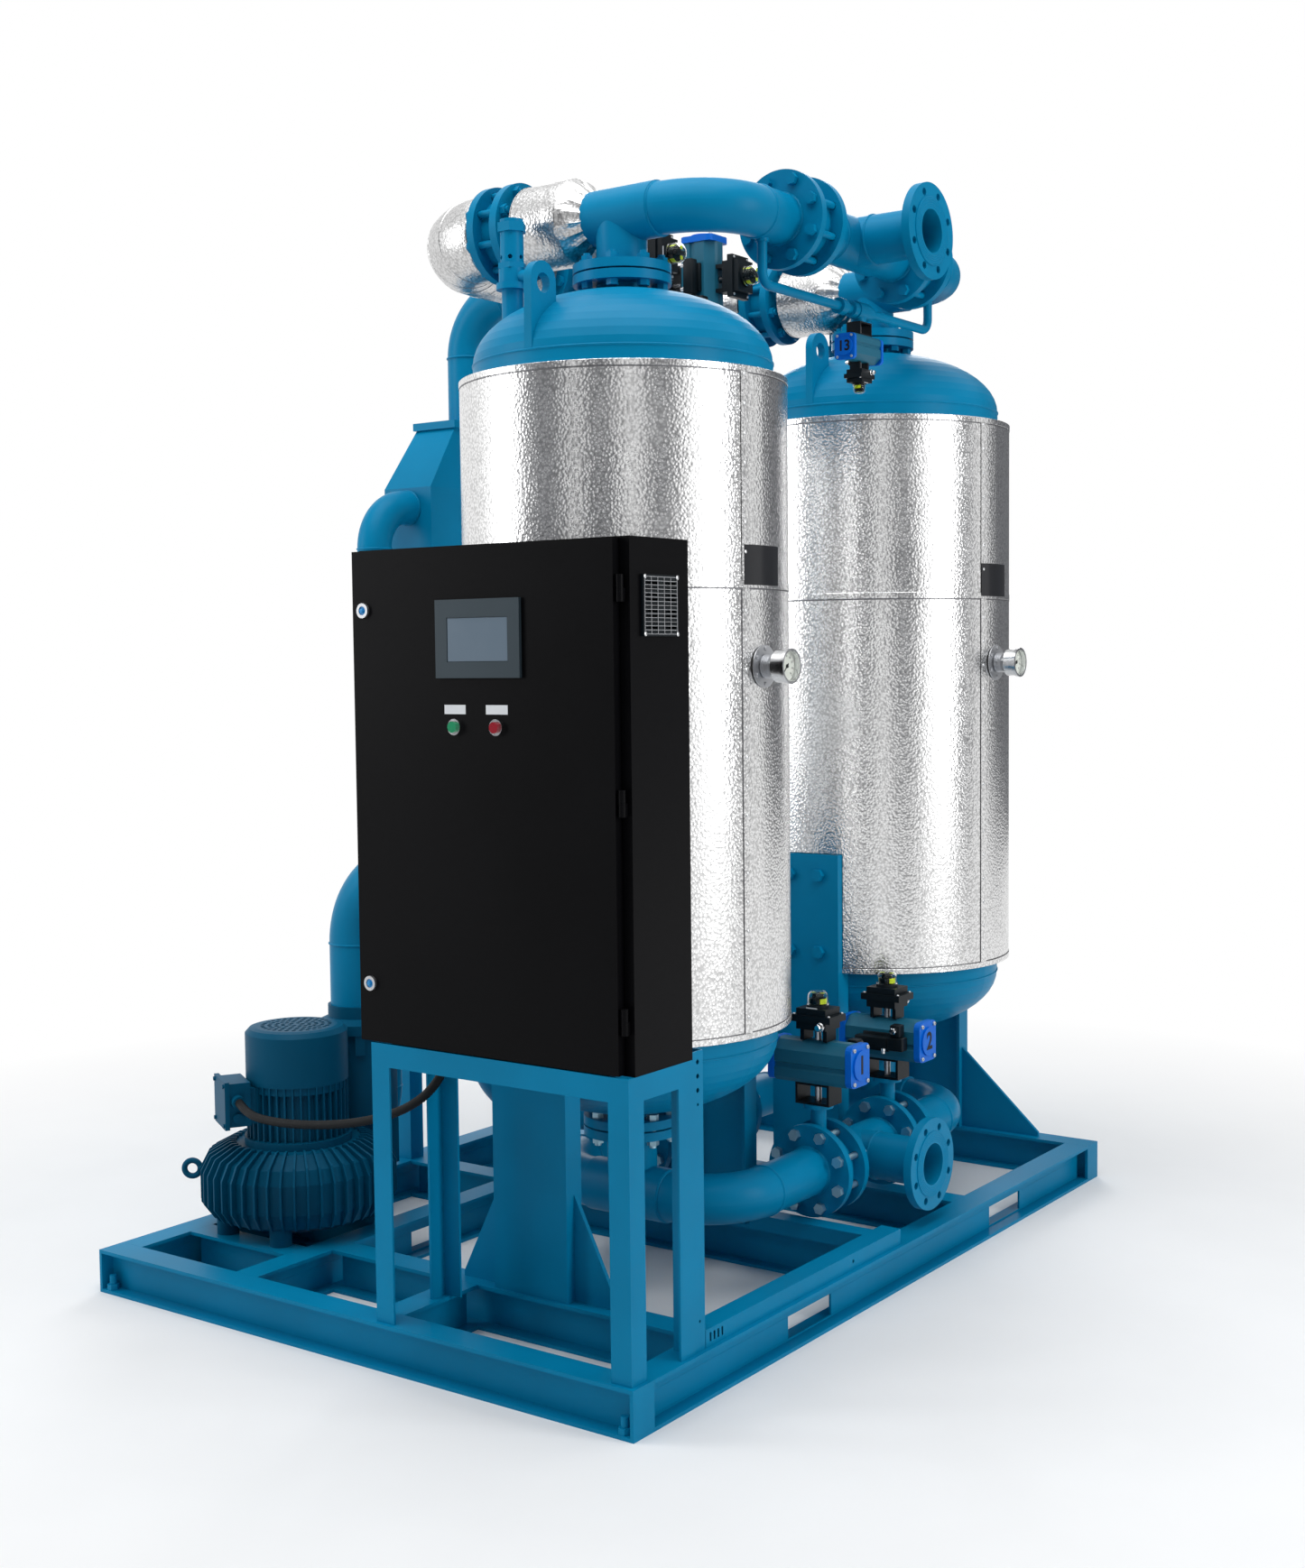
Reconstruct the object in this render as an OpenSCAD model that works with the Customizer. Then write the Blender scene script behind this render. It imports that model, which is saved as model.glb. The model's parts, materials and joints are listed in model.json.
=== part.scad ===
// Twin-tower desiccant air dryer with blower regeneration, on a steel skid.
// Origin: centre of the skid's underside. The control cabinet's door faces -Y, pipe flanges face +X.

/* [Skid] */
// Skid width across the front
skid_w = 1540; // [1500:10:1700]
// Skid length, front to back
skid_l = 2200; // [2180:10:2400]
// Height of the skid beams
beam_h = 100; // [90:5:140]
// Flange width of the skid beams
beam_b = 68; // [60:2:80]
// Flange thickness of the skid beams
beam_tf = 8; // [6:1:12]
// Web thickness of the skid beams
beam_tw = 5; // [4:1:8]
// Length of a fork pocket
fork_l = 180; // [140:5:200]
// Height of a fork pocket
fork_h = 48; // [30:2:60]

/* [Towers] */
// X of both tower axes
tower_x = 274; // [260:2:290]
// Y midway between the towers
mid_y = 150; // [145:1:152]
// Distance between the tower axes
tower_pitch = 1140; // [1130:2:1150]
// Outer radius of the pressure shell
shell_r = 334; // [326:1:340]
// Thickness of the pressure shell
shell_t = 9; // [6:1:14]
// Height of the lower tangent line
tangent_z = 603; // [595:1:615]
// Straight length of the shell
shell_l = 1504; // [1495:1:1515]
// Room from the shell to the jacket's outside
wool_t = 31; // [26:1:36]
// Thickness of the jacket sheet
jacket_t = 1.5; // [1:0.5:3]
// Height of the jacket's lower edge
jacket_z = 641; // [635:1:660]
// Length of the jacket
jacket_l = 1431; // [1400:1:1440]

/* [Tower legs] */
// Width of a leg channel
leg_w = 200; // [180:5:220]
// Depth of a leg channel
leg_d = 52; // [46:1:53]
// Plate thickness of a leg channel
leg_t = 10; // [8:1:14]
// Height of the leg tops
leg_top = 950; // [930:5:980]
// Height of the leg gussets
gusset_h = 230; // [150:5:300]
// Set-back of the gussets from the leg's face
gusset_in = 26; // [10:1:34]

/* [Pipework] */
// Outer radius of the header pipes
pipe_r = 57; // [54:0.5:58]
// Wall of the header pipes
pipe_t = 6; // [4:0.5:6]
// Radius of the flanges
flange_r = 110; // [107:1:115]
// Thickness of the flanges
flange_t = 20; // [16:1:24]
// Bolt circle diameter of the flanges
flange_pcd = 180; // [176:1:184]
// Bolt holes in a flange
flange_n = 8; // [4:4:12]
// Radius of the flange bolt holes
flange_hole_r = 9; // [8.5:0.5:10]
// Height of the lower headers
low_z = 245; // [240:1:250]
// Height of the upper headers over the towers' top flanges
rise_h = 134; // [130:1:142]
// Centre to end of a tee
tee_c = 105; // [100:1:110]
// Bend radius of the elbows
bend_r = 152.5; // [145:0.5:156]
// X of the inlet and outlet flange faces
port_x = 748; // [735:1:760]
// Thickness of the butterfly valve bodies
valve_t = 52; // [46:2:56]
// Distance of the butterfly valves from the mid plane
valve_off = 170; // [165:1:180]
// Thickness of the check valve bodies
check_t = 66; // [50:2:70]
// Distance of the outlet check valves from the mid plane
check_off = 263; // [255:1:270]

/* [Valve drives] */
// Radius of the valve stems
stem_r = 8; // [6:0.5:9]
// Radius of the valve discs
disc_r = 47; // [42:0.5:48]
// Running clearance of the stems
run_gap = 0.05; // [0.02:0.01:0.1]
// Length of an actuator body
drive_l = 196; // [180:2:210]
// Height of an actuator body
drive_h = 100; // [90:2:104]
// Width of an actuator body
drive_w = 82; // [70:2:88]

/* [Cabinet] */
// Cabinet width
cab_w = 680; // [660:5:700]
// Cabinet depth with its door
cab_d = 210; // [200:5:240]
// Cabinet height
cab_h = 1000; // [960:10:1040]
// Height of the cabinet's underside
cab_z = 683; // [675:1:700]
// Gap from the cabinet's right side to the skid's right side
cab_inset = 10; // [8:1:20]
// Sheet thickness of the cabinet
cab_t = 2; // [1.5:0.5:3]
// Thickness of the door pan
door_t = 20; // [16:1:24]
// Width of the angle used for the stand
angle_w = 48; // [40:1:50]
// Thickness of the angle used for the stand
angle_t = 5; // [4:1:6]

/* [Blower] */
// X of the blower axis
blower_x = -530; // [-535:1:-525]
// Y of the blower axis
blower_y = -690; // [-695:1:-685]
// Outer radius of the blower housing with its fins
blower_r = 234; // [228:1:238]
// Height of the blower housing
blower_h = 188; // [180:2:194]
// Cooling fins around the housing
blower_fins = 46; // [30:1:52]
// Radius of the motor with its fins
motor_r = 122; // [116:1:124]
// Cooling fins around the motor
motor_fins = 40; // [24:1:48]
// Radius of the intake filter canister
canister_r = 92; // [80:1:95]

/* [Heater] */
// Width of the heater casing
heater_w = 166; // [150:2:180]
// Depth of the heater casing
heater_d = 510; // [480:5:530]
// Height of the heater casing's underside
heater_z = 1250; // [1100:10:1400]
// Height of the shoulder where the hood starts
shoulder_z = 1920; // [1900:5:1950]
// Height of the hood's rim
hood_z = 2105; // [2080:5:2130]

/* [Hidden] */
$fn = 64;
seat = 0.3;
jacket_r = shell_r + wool_t;
tower_y = [mid_y - tower_pitch / 2, mid_y + tower_pitch / 2];
top_z = tangent_z + shell_l;
head_h = shell_r / 2;
head_steps = 14;
pipe_ir = pipe_r - pipe_t;
tee_r = pipe_r + 4;
tee_ir = pipe_ir + 2;
face_r = 79;
face_h = 2;
flange_h = flange_t + face_h;
header_x = tower_x + tee_c + bend_r;
exhaust_x = tower_x - tee_c - bend_r;
top_flange_z = top_z + head_h + 34;
high_z = top_flange_z + rise_h;
low_flange_z = tangent_z - head_h - 34;
hot_gap_x = -20;
hot_t = 44;
hot_x = hot_gap_x - hot_t - 2 * flange_h - bend_r;
clad_r = 95;
bolt_r = 8;
nut_r = 13.86;
nut_h = 13;
leg_face = jacket_r + 7;
leg_bolt_x = 43;
leg_bolt_z = [696, 896];
gusset_reach = 110;
rear_gusset_reach = 236;
beam_z = beam_h;
inner_x = -346;
stand_beam_x = 96;
leg_beam_y = [tower_y[0] - leg_face + 26, tower_y[0] + leg_face - 26, tower_y[1] - leg_face + 26];
blower_beam_y = [-852, -556];
cab_x1 = skid_w / 2 - cab_inset;
cab_x0 = cab_x1 - cab_w;
cab_y0 = -skid_l / 2 + 10;
cab_y1 = cab_y0 + cab_d;
body_y0 = cab_y0 + door_t + 2;
cab_top = cab_z + cab_h;
strip_w = 22;
door_x1 = cab_x1 - strip_w;
hinge_x = door_x1 + 8;
hinge_y = cab_y0 + door_t / 2;
hinge_z = [cab_z + 104, cab_z + 510, cab_z + 905];
knuckle_r = 7;
pin_r = 4;
knuckle_h = 25;
lock_x = cab_x0 + 32;
lock_z = [cab_z + 122, cab_z + 878];
lock_r = 11;
spigot_r = 5;
button_x = [cab_x0 + 272, cab_x0 + 378];
button_z = cab_z + 647;
button_r = 11;
panel_x = cab_x0 + 335;
panel_z = cab_z + 818;
panel_w = 212;
panel_h = 152;
vent_y = cab_y1 - 98;
vent_z = cab_z + 874;
vent_w = 112;
vent_h = 114;
stand_x0 = cab_x0 + 28;
blower_z = beam_z + 22;
motor_z = blower_z + blower_h;
cowl_z = motor_z + 158;
cowl_top = cowl_z + 120;
can_x = blower_x - 17;
can_y = blower_y + 232;
can_z = motor_z + 6;
can_h = 222;
suction_r = 70;
riser_r = 44.5;
intake_z = 757;
heater_x = -676;
heater_y0 = mid_y - heater_d / 2;
riser_y = heater_y0 - 130;
riser_z = 1867;
riser_bend = 114;
discharge_z = blower_z + 98;
gauge_z = 1440;
gauge_r = 35;
line_r = 11;
line_z = 2288;
line_y = [-245, 2 * mid_y + 245];
line_bend = 30;
fill_y = 190;
relief_at = [-192, -150];
conduit_r = 10;
fork_y = [-410, 565];
bed_r = shell_r - shell_t - 0.4;
bed_z0 = tangent_z + 62;
bed_z1 = top_z - 60;
screen_t = 10;
exhaust_riser_x = -650;
exhaust_top = 1000;
drive_gap = 155;
small = 0.62;
ball_gap = 45;
ball_r = 22;
ball_l = 90;
bracket_h = 52;
box_low = bracket_h + drive_h + 28;
box_tall = 58;
stem_top = box_low + box_tall;
puck_h = 26;
conduit_gland = [194, -952, cab_z - 16];
bezel_r = 15;
sleeve_r = 14.3;
lip = 20;
impeller_z = 94;
shaft_r = 14;
discharge_y = -478;
pad_x = 126;
gland_x = 158;
gland_z = 428;
gland_end = 78;
intake_bend = 190;
intake_end = -310;
valve_places = [
    [[header_x, mid_y - valve_off, low_z], [0, 0, 0]],
    [[header_x, mid_y + valve_off, low_z], [0, 0, 0]],
    [[exhaust_x, mid_y - valve_off, low_z], [0, 0, 0]],
    [[exhaust_x, mid_y + valve_off, low_z], [0, 0, 0]],
    [[hot_x, mid_y - valve_off, high_z], [0, 90, 0]],
    [[hot_x, mid_y + valve_off, high_z], [0, 90, 0]]];
conduit_points = [
    [-540.76, -866.23, 428], [-519.8, -878.3, 427], [-496, -891.5, 425], [-468, -904.5, 423],
        [-432, -918, 421.5],
    [-385, -928, 422], [-330, -936, 425], [-265, -942, 431], [-195, -946, 440], [-125, -949, 452],
    [-55, -951, 468], [10, -952, 488], [70, -952, 513], [120, -952, 543], [158, -952, 578],
    [182, -952, 614], [193, -952, 645], [194, -952, 666.2]];

paint = [0.08, 0.47, 0.68];
bright = [0.85, 0.86, 0.88];
black = [0.07, 0.07, 0.08];
cap_blue = [0.15, 0.35, 0.8];
steel = [0.62, 0.64, 0.66];

// Shared shapes

// I-beam along +X from the origin, standing on z = 0, centred on Y
module beam(len) {
    rotate([90, 0, 90]) linear_extrude(len) polygon([
        [-beam_b / 2, 0], [beam_b / 2, 0], [beam_b / 2, beam_tf], [beam_tw / 2, beam_tf],
        [beam_tw / 2, beam_h - beam_tf], [beam_b / 2, beam_h - beam_tf], [beam_b / 2, beam_h],
        [-beam_b / 2, beam_h], [-beam_b / 2, beam_h - beam_tf], [-beam_tw / 2, beam_h - beam_tf],
        [-beam_tw / 2, beam_tf], [-beam_b / 2, beam_tf]]);
}

// Beam along +Y from the origin
module long_beam(len) { rotate([0, 0, 90]) beam(len); }

// Box between two corners
module box(a, b) { translate(a) cube(b - a); }

// Cylinder from a point along a row axis: "x", "y" or "z"
module rod(p, axis, len, r) {
    translate(p) rotate(axis == "x" ? [0, 90, 0] : axis == "y" ? [-90, 0, 0] : [0, 0, 0])
        cylinder(r = r, h = len);
}

// Quarter bend of a solid rod of radius r: starts along +X at the origin and turns towards +Y
module bend(r, radius) {
    translate([0, radius, 0]) rotate([0, 0, -90]) rotate_extrude(angle = 90) translate([radius, 0]) circle(r);
}

// Bolt holes of a flange, along Z
module flange_holes(r, h) {
    for (i = [0 : flange_n - 1]) rotate([0, 0, (i + 0.5) * 360 / flange_n])
        translate([flange_pcd / 2, 0, 0]) cylinder(r = r, h = h, $fn = 32);
}

// Flange with its raised face at z = 0, body below, drilled for its bolts
module flange() {
    difference() {
        union() {
            translate([0, 0, -face_h]) cylinder(r = face_r, h = face_h);
            translate([0, 0, -flange_h]) cylinder(r = flange_r, h = flange_t);
        }
        translate([0, 0, -flange_h - 1]) flange_holes(flange_hole_r, flange_h + 2);
    }
}

// Row of bolts along Z through two flanges whose faces are gap apart, centred on z = 0
module flange_bolt_set(gap) {
    half = gap / 2 + flange_h;
    for (i = [0 : flange_n - 1]) rotate([0, 0, (i + 0.5) * 360 / flange_n])
        translate([flange_pcd / 2, 0, 0]) {
        translate([0, 0, -half - nut_h]) cylinder(r = bolt_r, h = 2 * half + 2 * nut_h + 6, $fn = 24);
        translate([0, 0, -half - nut_h]) cylinder(r = nut_r, h = nut_h, $fn = 6);
        translate([0, 0, half]) cylinder(r = nut_r, h = nut_h, $fn = 6);
    }
}

// Turns the shape's Z axis to +Y
module to_y() { rotate([-90, 0, 0]) children(); }

// Turns the shape's Z axis to +X
module to_x() { rotate([0, 90, 0]) children(); }

// Places a shape at tower i; the second tower is the first one mirrored in the mid plane
module at_tower(i) {
    translate([tower_x, tower_y[i], 0]) mirror([0, i, 0]) children();
}

// Skid

// Long beam at x, welded from plates: a bottom tee, web plates that leave the fork pockets open,
// a web strip above them and a top flange
module pocket_beam(x) {
    y0 = -skid_l / 2 + beam_b + seat;
    l = skid_l - 2 * beam_b - 2 * seat;
    low = beam_tf + 4;
    top = low + fork_h;
    ends = concat([y0], [for (y = fork_y) for (s = [-1, 1]) y + s * fork_l / 2], [y0 + l]);
    translate([x - beam_b / 2, y0, 0]) cube([beam_b, l, beam_tf]);
    translate([x - beam_tw / 2, y0, 0]) cube([beam_tw, l, low]);
    for (k = [0 : 2 : len(ends) - 2]) translate([x - beam_tw / 2, ends[k], low + seat])
        cube([beam_tw, ends[k + 1] - ends[k], fork_h - seat]);
    translate([x - beam_tw / 2, y0, top + seat]) cube([beam_tw, l, beam_h - beam_tf - top - 2 * seat]);
    translate([x - beam_b / 2, y0, beam_h - beam_tf]) cube([beam_b, l, beam_tf]);
}

module skid_outer_beams() {
    color(paint) {
        for (s = [-1, 1]) translate([-skid_w / 2, s * (skid_l - beam_b) / 2, 0]) {
            beam(skid_w);
            for (x = [0, skid_w - beam_tf]) translate([x, -beam_b / 2, beam_tf])
                for (h = [0, beam_b / 2 + beam_tw / 2]) translate([0, h, 0])
                    cube([beam_tf, beam_b / 2 - beam_tw / 2, beam_h - 2 * beam_tf]);
        }
        for (s = [-1, 1]) pocket_beam(s * (skid_w - beam_b) / 2);
    }
}

module skid_inner_beams() {
    x0 = -skid_w / 2 + beam_b + seat;
    x1 = skid_w / 2 - beam_b - seat;
    y0 = -skid_l / 2 + beam_b + seat;
    half = beam_b / 2 + seat;
    color(paint) {
        pocket_beam(inner_x);
        for (y = leg_beam_y) translate([inner_x + half, y, 0]) beam(x1 - inner_x - half);
        for (y = concat(blower_beam_y, [heater_y0 + 25, heater_y0 + heater_d - 25]))
            translate([x0, y, 0]) beam(inner_x - half - x0);
        translate([stand_beam_x, y0, 0]) long_beam(leg_beam_y[0] - half - y0);
    }
}

// Anchor studs in the skid corners and the bolts that hold the tower legs
module frame_bolts() {
    color(steel) {
        for (sx = [-1, 1]) for (sy = [-1, 1])
            translate([sx * (skid_w / 2 - 30), sy * (skid_l / 2 - 14), beam_tf]) {
                cylinder(r = nut_r, h = nut_h, $fn = 6);
                cylinder(r = bolt_r, h = 34, $fn = 24);
            }
        for (i = [0, 1]) at_tower(i) for (s = [-1, 1]) for (x = [-leg_bolt_x,
            leg_bolt_x]) for (z = leg_bolt_z)
            translate([x, s * leg_face, z]) rotate([-90 * s, 0, 0]) {
                cylinder(r = 17, h = 13, $fn = 6);
                translate([0, 0, -leg_t]) cylinder(r = 10, h = leg_t + 1, $fn = 24);
            }
    }
}

// Cabinet stand and cable ducts

// Upright angle, its corner at the origin, legs along sx and sy
module angle_post(h, sx, sy) {
    mirror([sx < 0 ? 1 : 0, 0, 0]) mirror([0, sy < 0 ? 1 : 0, 0])
        linear_extrude(h) polygon([[0, 0], [angle_w, 0], [angle_w, angle_t], [angle_t, angle_t],
            [angle_t, angle_w], [0, angle_w]]);
}

module cabinet_stand() {
    h = cab_z - beam_z;
    rail_z = cab_z - angle_w;
    color(paint) {
        translate([stand_x0, cab_y0, beam_z]) angle_post(h, 1, 1);
        translate([cab_x1, cab_y0, beam_z]) angle_post(h, -1, 1);
        translate([stand_x0, cab_y1, beam_z]) angle_post(h, 1, -1);
        translate([cab_x1, cab_y1, beam_z]) angle_post(h, -1, -1);
        for (y = [cab_y0, cab_y1 - angle_t])
            box([stand_x0 + angle_w, y, rail_z], [cab_x1 - angle_w, y + angle_t, cab_z]);
        for (x = [stand_x0, cab_x1 - angle_t])
            box([x, cab_y0 + angle_w, rail_z], [x + angle_t, cab_y1 - angle_w, cab_z]);
        box([stand_x0 + angle_w, cab_y0 + angle_t, cab_z - angle_t],
            [cab_x1 - angle_w, cab_y0 + angle_w, cab_z]);
    }
}

// Slotted sheet-metal channel for the cables: riser behind the cabinet, floor run and branch
module cable_ducts() {
    duct_w = 50;
    duct_h = 36;
    t = 2;
    x1 = skid_w / 2 - 12;
    y0 = cab_y1 + 2;
    y1 = leg_beam_y[1] + 40;
    color(paint) {
        difference() {
            box([x1 - duct_w, y0, beam_z], [x1, y0 + duct_h, cab_z + 14]);
            box([x1 - duct_w + t, y0 + t, beam_z - 1], [x1 - t, y0 + duct_h - t, cab_z + 15]);
            for (k = [0 : 2]) rod([x1 - t - 1, y0 + duct_h / 2, cab_z - 8 - 28 * k], "x", t + 2, 5);
            for (z = [cab_z - 92, beam_z + 60]) rod([x1 - t - 1, y0 + duct_h / 2, z], "x", t + 2, 3);
        }
        difference() {
            box([x1 - duct_w, y0 + duct_h + 2, beam_z], [x1, y1, beam_z + duct_h]);
            box([x1 - duct_w + t, y0 + duct_h + 1, beam_z + t], [x1 - t, y1 + 1, beam_z + duct_h - t]);
            for (k = [0 : 3]) box([x1 - t - 1, y0 + duct_h + 16 + 14 * k, beam_z + 9],
                [x1 + 1, y0 + duct_h + 22 + 14 * k, beam_z + 27]);
            rod([x1 - t - 1, y1 - 220, beam_z + 18], "x", t + 2, 4);
        }
        difference() {
            box([header_x - 130, y1 - 90, beam_z], [x1 - duct_w, y1 - 40, beam_z + duct_h]);
            box([header_x - 131, y1 - 88, beam_z + t], [x1 - duct_w + 1, y1 - 42, beam_z + duct_h - t]);
        }
    }
}

// Towers

// Half outline of a vessel with elliptical heads: radius r, tangent lines z0 and z1, head height h
function vessel_outline(r, z0, z1, h) = concat(
    [for (i = [0 : head_steps]) let (a = -90 + 90 * i / head_steps) [r * cos(a), z0 + h * sin(a)]],
    [for (i = [0 : head_steps]) let (a = 90 * i / head_steps) [r * cos(a), z1 + h * sin(a)]]);

module vessel_form(r, h) { rotate_extrude($fn = 128) polygon(vessel_outline(r, tangent_z, top_z, h)); }

// Height of the upper head's outside at radius r
function head_top(r) = top_z + head_h * sqrt(1 - pow(r / shell_r, 2));

module lifting_lug(s) {
    hole_y = shell_r - 42;
    rotate([90, 0, 90]) translate([0, 0, -10]) linear_extrude(20) difference() {
        union() {
            translate([s * hole_y, top_z + 146]) circle(42);
            polygon([[s * (hole_y + 42), top_z + 146], [s * (hole_y + 42), top_z + 2],
                [s * (hole_y - 12), top_z + 2],
                [s * (hole_y - 42), top_z + 110], [s * (hole_y - 42), top_z + 146]]);
        }
        translate([s * hole_y, top_z + 142]) circle(21);
    }
}

module vessel() {
    pad_y = leg_face - leg_t;
    difference() {
        union() {
            vessel_form(shell_r, head_h);
            for (s = [-1, 1]) {
                lifting_lug(s);
                box([-leg_w / 2 + leg_t + 1, min(s * pad_y, s * 300), jacket_z + 20],
                    [leg_w / 2 - leg_t - 1, max(s * pad_y, s * 300), leg_top - 8]);
            }
            rod([0, 0, top_z], "z", top_flange_z - top_z - 1, pipe_r);
            rod([0, 0, low_flange_z + 1], "z", tangent_z - low_flange_z, pipe_r);
            translate([0, 0, top_flange_z]) flange();
            translate([0, 0, low_flange_z]) rotate([180, 0, 0]) flange();
            translate([relief_at[0], relief_at[1], top_z]) cylinder(r = 24, h = head_h + 4);
            rod([shell_r - 20, 0, gauge_z], "x", jacket_r - shell_r + 46, 11);
        }
        difference() {
            vessel_form(shell_r - shell_t, head_h - shell_t);
            difference() {
                translate([0, 0, tangent_z + 40]) cylinder(r = shell_r, h = 12);
                translate([0, 0, tangent_z + 39]) cylinder(r = shell_r - shell_t - 26, h = 14);
            }
        }
        rod([0, 0, top_z], "z", 400, pipe_ir);
        rod([0, 0, low_flange_z - 1], "z", tangent_z - low_flange_z, pipe_ir);
        translate([relief_at[0], relief_at[1], top_z]) cylinder(r = 14, h = head_h + 5);
        rod([shell_r - 40, 0, gauge_z], "x", 120, 4);
    }
}

module tower_1_vessel() { color(paint) at_tower(0) vessel(); }

module tower_2_vessel() { color(paint) at_tower(1) vessel(); }

module desiccant_beds() {
    color([0.92, 0.9, 0.84]) for (i = [0, 1]) at_tower(i)
        translate([0, 0, bed_z0]) cylinder(r = bed_r, h = bed_z1 - bed_z0, $fn = 128);
}

// Perforated screens under and over each bed
module bed_screens() {
    color(steel) for (i = [0, 1]) at_tower(i) for (z = [bed_z0 - screen_t, bed_z1]) difference() {
        translate([0, 0, z]) cylinder(r = bed_r, h = screen_t, $fn = 128);
        for (ring = [1 : 3]) for (k = [0 : 6 * ring - 1]) rotate([0, 0, k * 60 / ring])
            translate([ring * 80, 0, z - 1]) cylinder(r = 12, h = screen_t + 2, $fn = 16);
    }
}

// Room left in the jacket and insulation for the legs and the gauge pipe
module tower_cutouts(gap) {
    y0 = leg_face - leg_d - 60;
    y1 = leg_face + 48;
    for (s = [-1, 1]) box([-leg_w / 2 - gap, min(s * y0, s * y1), jacket_z - 5],
        [leg_w / 2 + gap, max(s * y0, s * y1), leg_top + gap]);
    rod([shell_r - 60, 0, gauge_z], "x", 140, 11 + gap);
}

module insulation() {
    r1 = jacket_r - jacket_t - seat;
    color([0.85, 0.8, 0.6]) for (i = [0, 1]) at_tower(i) difference() {
        translate([0, 0, jacket_z + jacket_t + seat])
            cylinder(r = r1, h = jacket_l - 2 * (jacket_t + seat), $fn = 128);
        translate([0, 0, jacket_z]) cylinder(r = shell_r + seat, h = jacket_l, $fn = 128);
        tower_cutouts(2);
    }
}

// Stucco sheet round the insulation, closed by a ring at each end
module jacket() {
    difference() {
        translate([0, 0, jacket_z]) cylinder(r = jacket_r, h = jacket_l, $fn = 128);
        translate([0, 0, jacket_z + jacket_t])
            cylinder(r = jacket_r - jacket_t, h = jacket_l - 2 * jacket_t, $fn = 128);
        translate([0, 0, jacket_z - 1]) cylinder(r = shell_r + seat, h = jacket_l + 2, $fn = 128);
        tower_cutouts(2);
    }
}

module tower_1_jacket() { color(bright) at_tower(0) jacket(); }

module tower_2_jacket() { color(bright) at_tower(1) jacket(); }

// Leg channel on the +Y side, with a gusset each way where reach is more than zero
module tower_leg(reach) {
    difference() {
        union() {
            box([-leg_w / 2, leg_face - leg_t, beam_z], [leg_w / 2, leg_face, leg_top]);
            for (x = [-leg_w / 2, leg_w / 2 - leg_t])
                box([x, leg_face - leg_d, beam_z], [x + leg_t, leg_face, leg_top]);
            if (reach > 0) for (m = [0, 1]) mirror([m, 0, 0])
                translate([leg_w / 2 - leg_t / 2, leg_face - gusset_in, 0])
                rotate([90, 0, 0]) linear_extrude(leg_t)
                    polygon([[0, beam_z], [leg_t / 2 + reach, beam_z], [leg_t / 2 + reach, beam_z + 12],
                        [leg_t / 2, beam_z + gusset_h], [0, beam_z + gusset_h]]);
        }
        for (x = [-leg_bolt_x, leg_bolt_x]) for (z = leg_bolt_z)
            rod([x, leg_face - leg_t - 1, z], "y", leg_t + 2, 10.5);
        rod([0, 0, beam_z - 1], "z", leg_top - beam_z + 2, shell_r + seat);
    }
}

// The legs between the towers have no gussets, to leave room for the valves
module tower_legs() {
    color(paint) for (i = [0, 1]) at_tower(i) {
        tower_leg(0);
        mirror([0, 1, 0]) tower_leg(i == 1 ? rear_gusset_reach : gusset_reach);
    }
}

// Spring-loaded safety valve on its nozzle
module safety_valves() {
    z = top_z + head_h + 4;
    color(paint) for (i = [0, 1]) at_tower(i) translate([relief_at[0], relief_at[1], z]) difference() {
        union() {
            cylinder(r = 36, h = 14);
            cylinder(r = 30, h = 46);
            translate([0, 0, 46]) cylinder(r = 33, h = 12, $fn = 6);
            translate([0, 0, 58]) cylinder(r = 26, h = 96);
            translate([0, 0, 126]) cylinder(r = 33, h = 20, $fn = 6);
            rod([0, 0, 26], "x", 52, 15);
        }
        translate([0, 0, -1]) cylinder(r = 12, h = 30);
        rod([0, 0, 26], "x", 60, 11);
        for (a = [0 : 60 : 300]) rotate([0, 0, a]) rod([15, 0, 70], "x", 20, 5);
    }
}

// Dial gauges on the +X side, with a round plate against the jacket
module pressure_gauges() {
    x0 = jacket_r + 26.3;
    color(steel) for (i = [0, 1]) at_tower(i) translate([0, 0, gauge_z]) {
        difference() {
            rod([jacket_r + seat, 0, 0], "x", 3, 46);
            rod([jacket_r, 0, 0], "x", 6, 11 + seat);
        }
        difference() {
            union() {
                rod([x0, 0, 0], "x", 12, 14);
                rod([x0 + 10, 0, 0], "x", 32, gauge_r);
                rod([x0 + 36, 0, 0], "x", 8, gauge_r + 3);
            }
            rod([x0 + 30, 0, 0], "x", 20, gauge_r - 2);
        }
        rod([x0 + 29, 0, 0], "x", 6, 1.5);
    }
}

// Needle at tower i, pointing to the start of its scale
module gauge_needle(i) {
    x0 = jacket_r + 26.3 + 31;
    translate([tower_x + x0, tower_y[i], gauge_z]) difference() {
        union() {
            rod([0, 0, 0], "x", 2, 4);
            rotate([135, 0, 0]) box([0, -1, -8], [1, 1, 26]);
        }
        rod([-1, 0, 0], "x", 4, 1.5 + run_gap);
    }
}

module gauge_1_needle() { color(black) gauge_needle(0); }

module gauge_2_needle() { color(black) gauge_needle(1); }

// Pipework

// Flange at p facing along a row axis: "+x", "-x", "+y" or "+z"
module flange_at(p, way) {
    turn = way == "+x" ? [0, 90, 0] : way == "-x" ? [0, -90, 0] : way == "+y" ? [-90, 0, 0] : [0, 0, 0];
    translate(p) rotate(turn) flange();
}

// Distance from a tower axis to the flange face before a valve that sits off from the mid plane
function face_y(off, t) = tower_pitch / 2 - off - t / 2;

// Hairline across a pipe where two fittings are welded to each other
module weld_line(p, axis, r) {
    half = axis == "x" ? [seat / 2, 0, 0] : axis == "y" ? [0, seat / 2, 0] : [0, 0, seat / 2];
    rod(p - half, axis, seat, r + 12);
}

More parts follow.
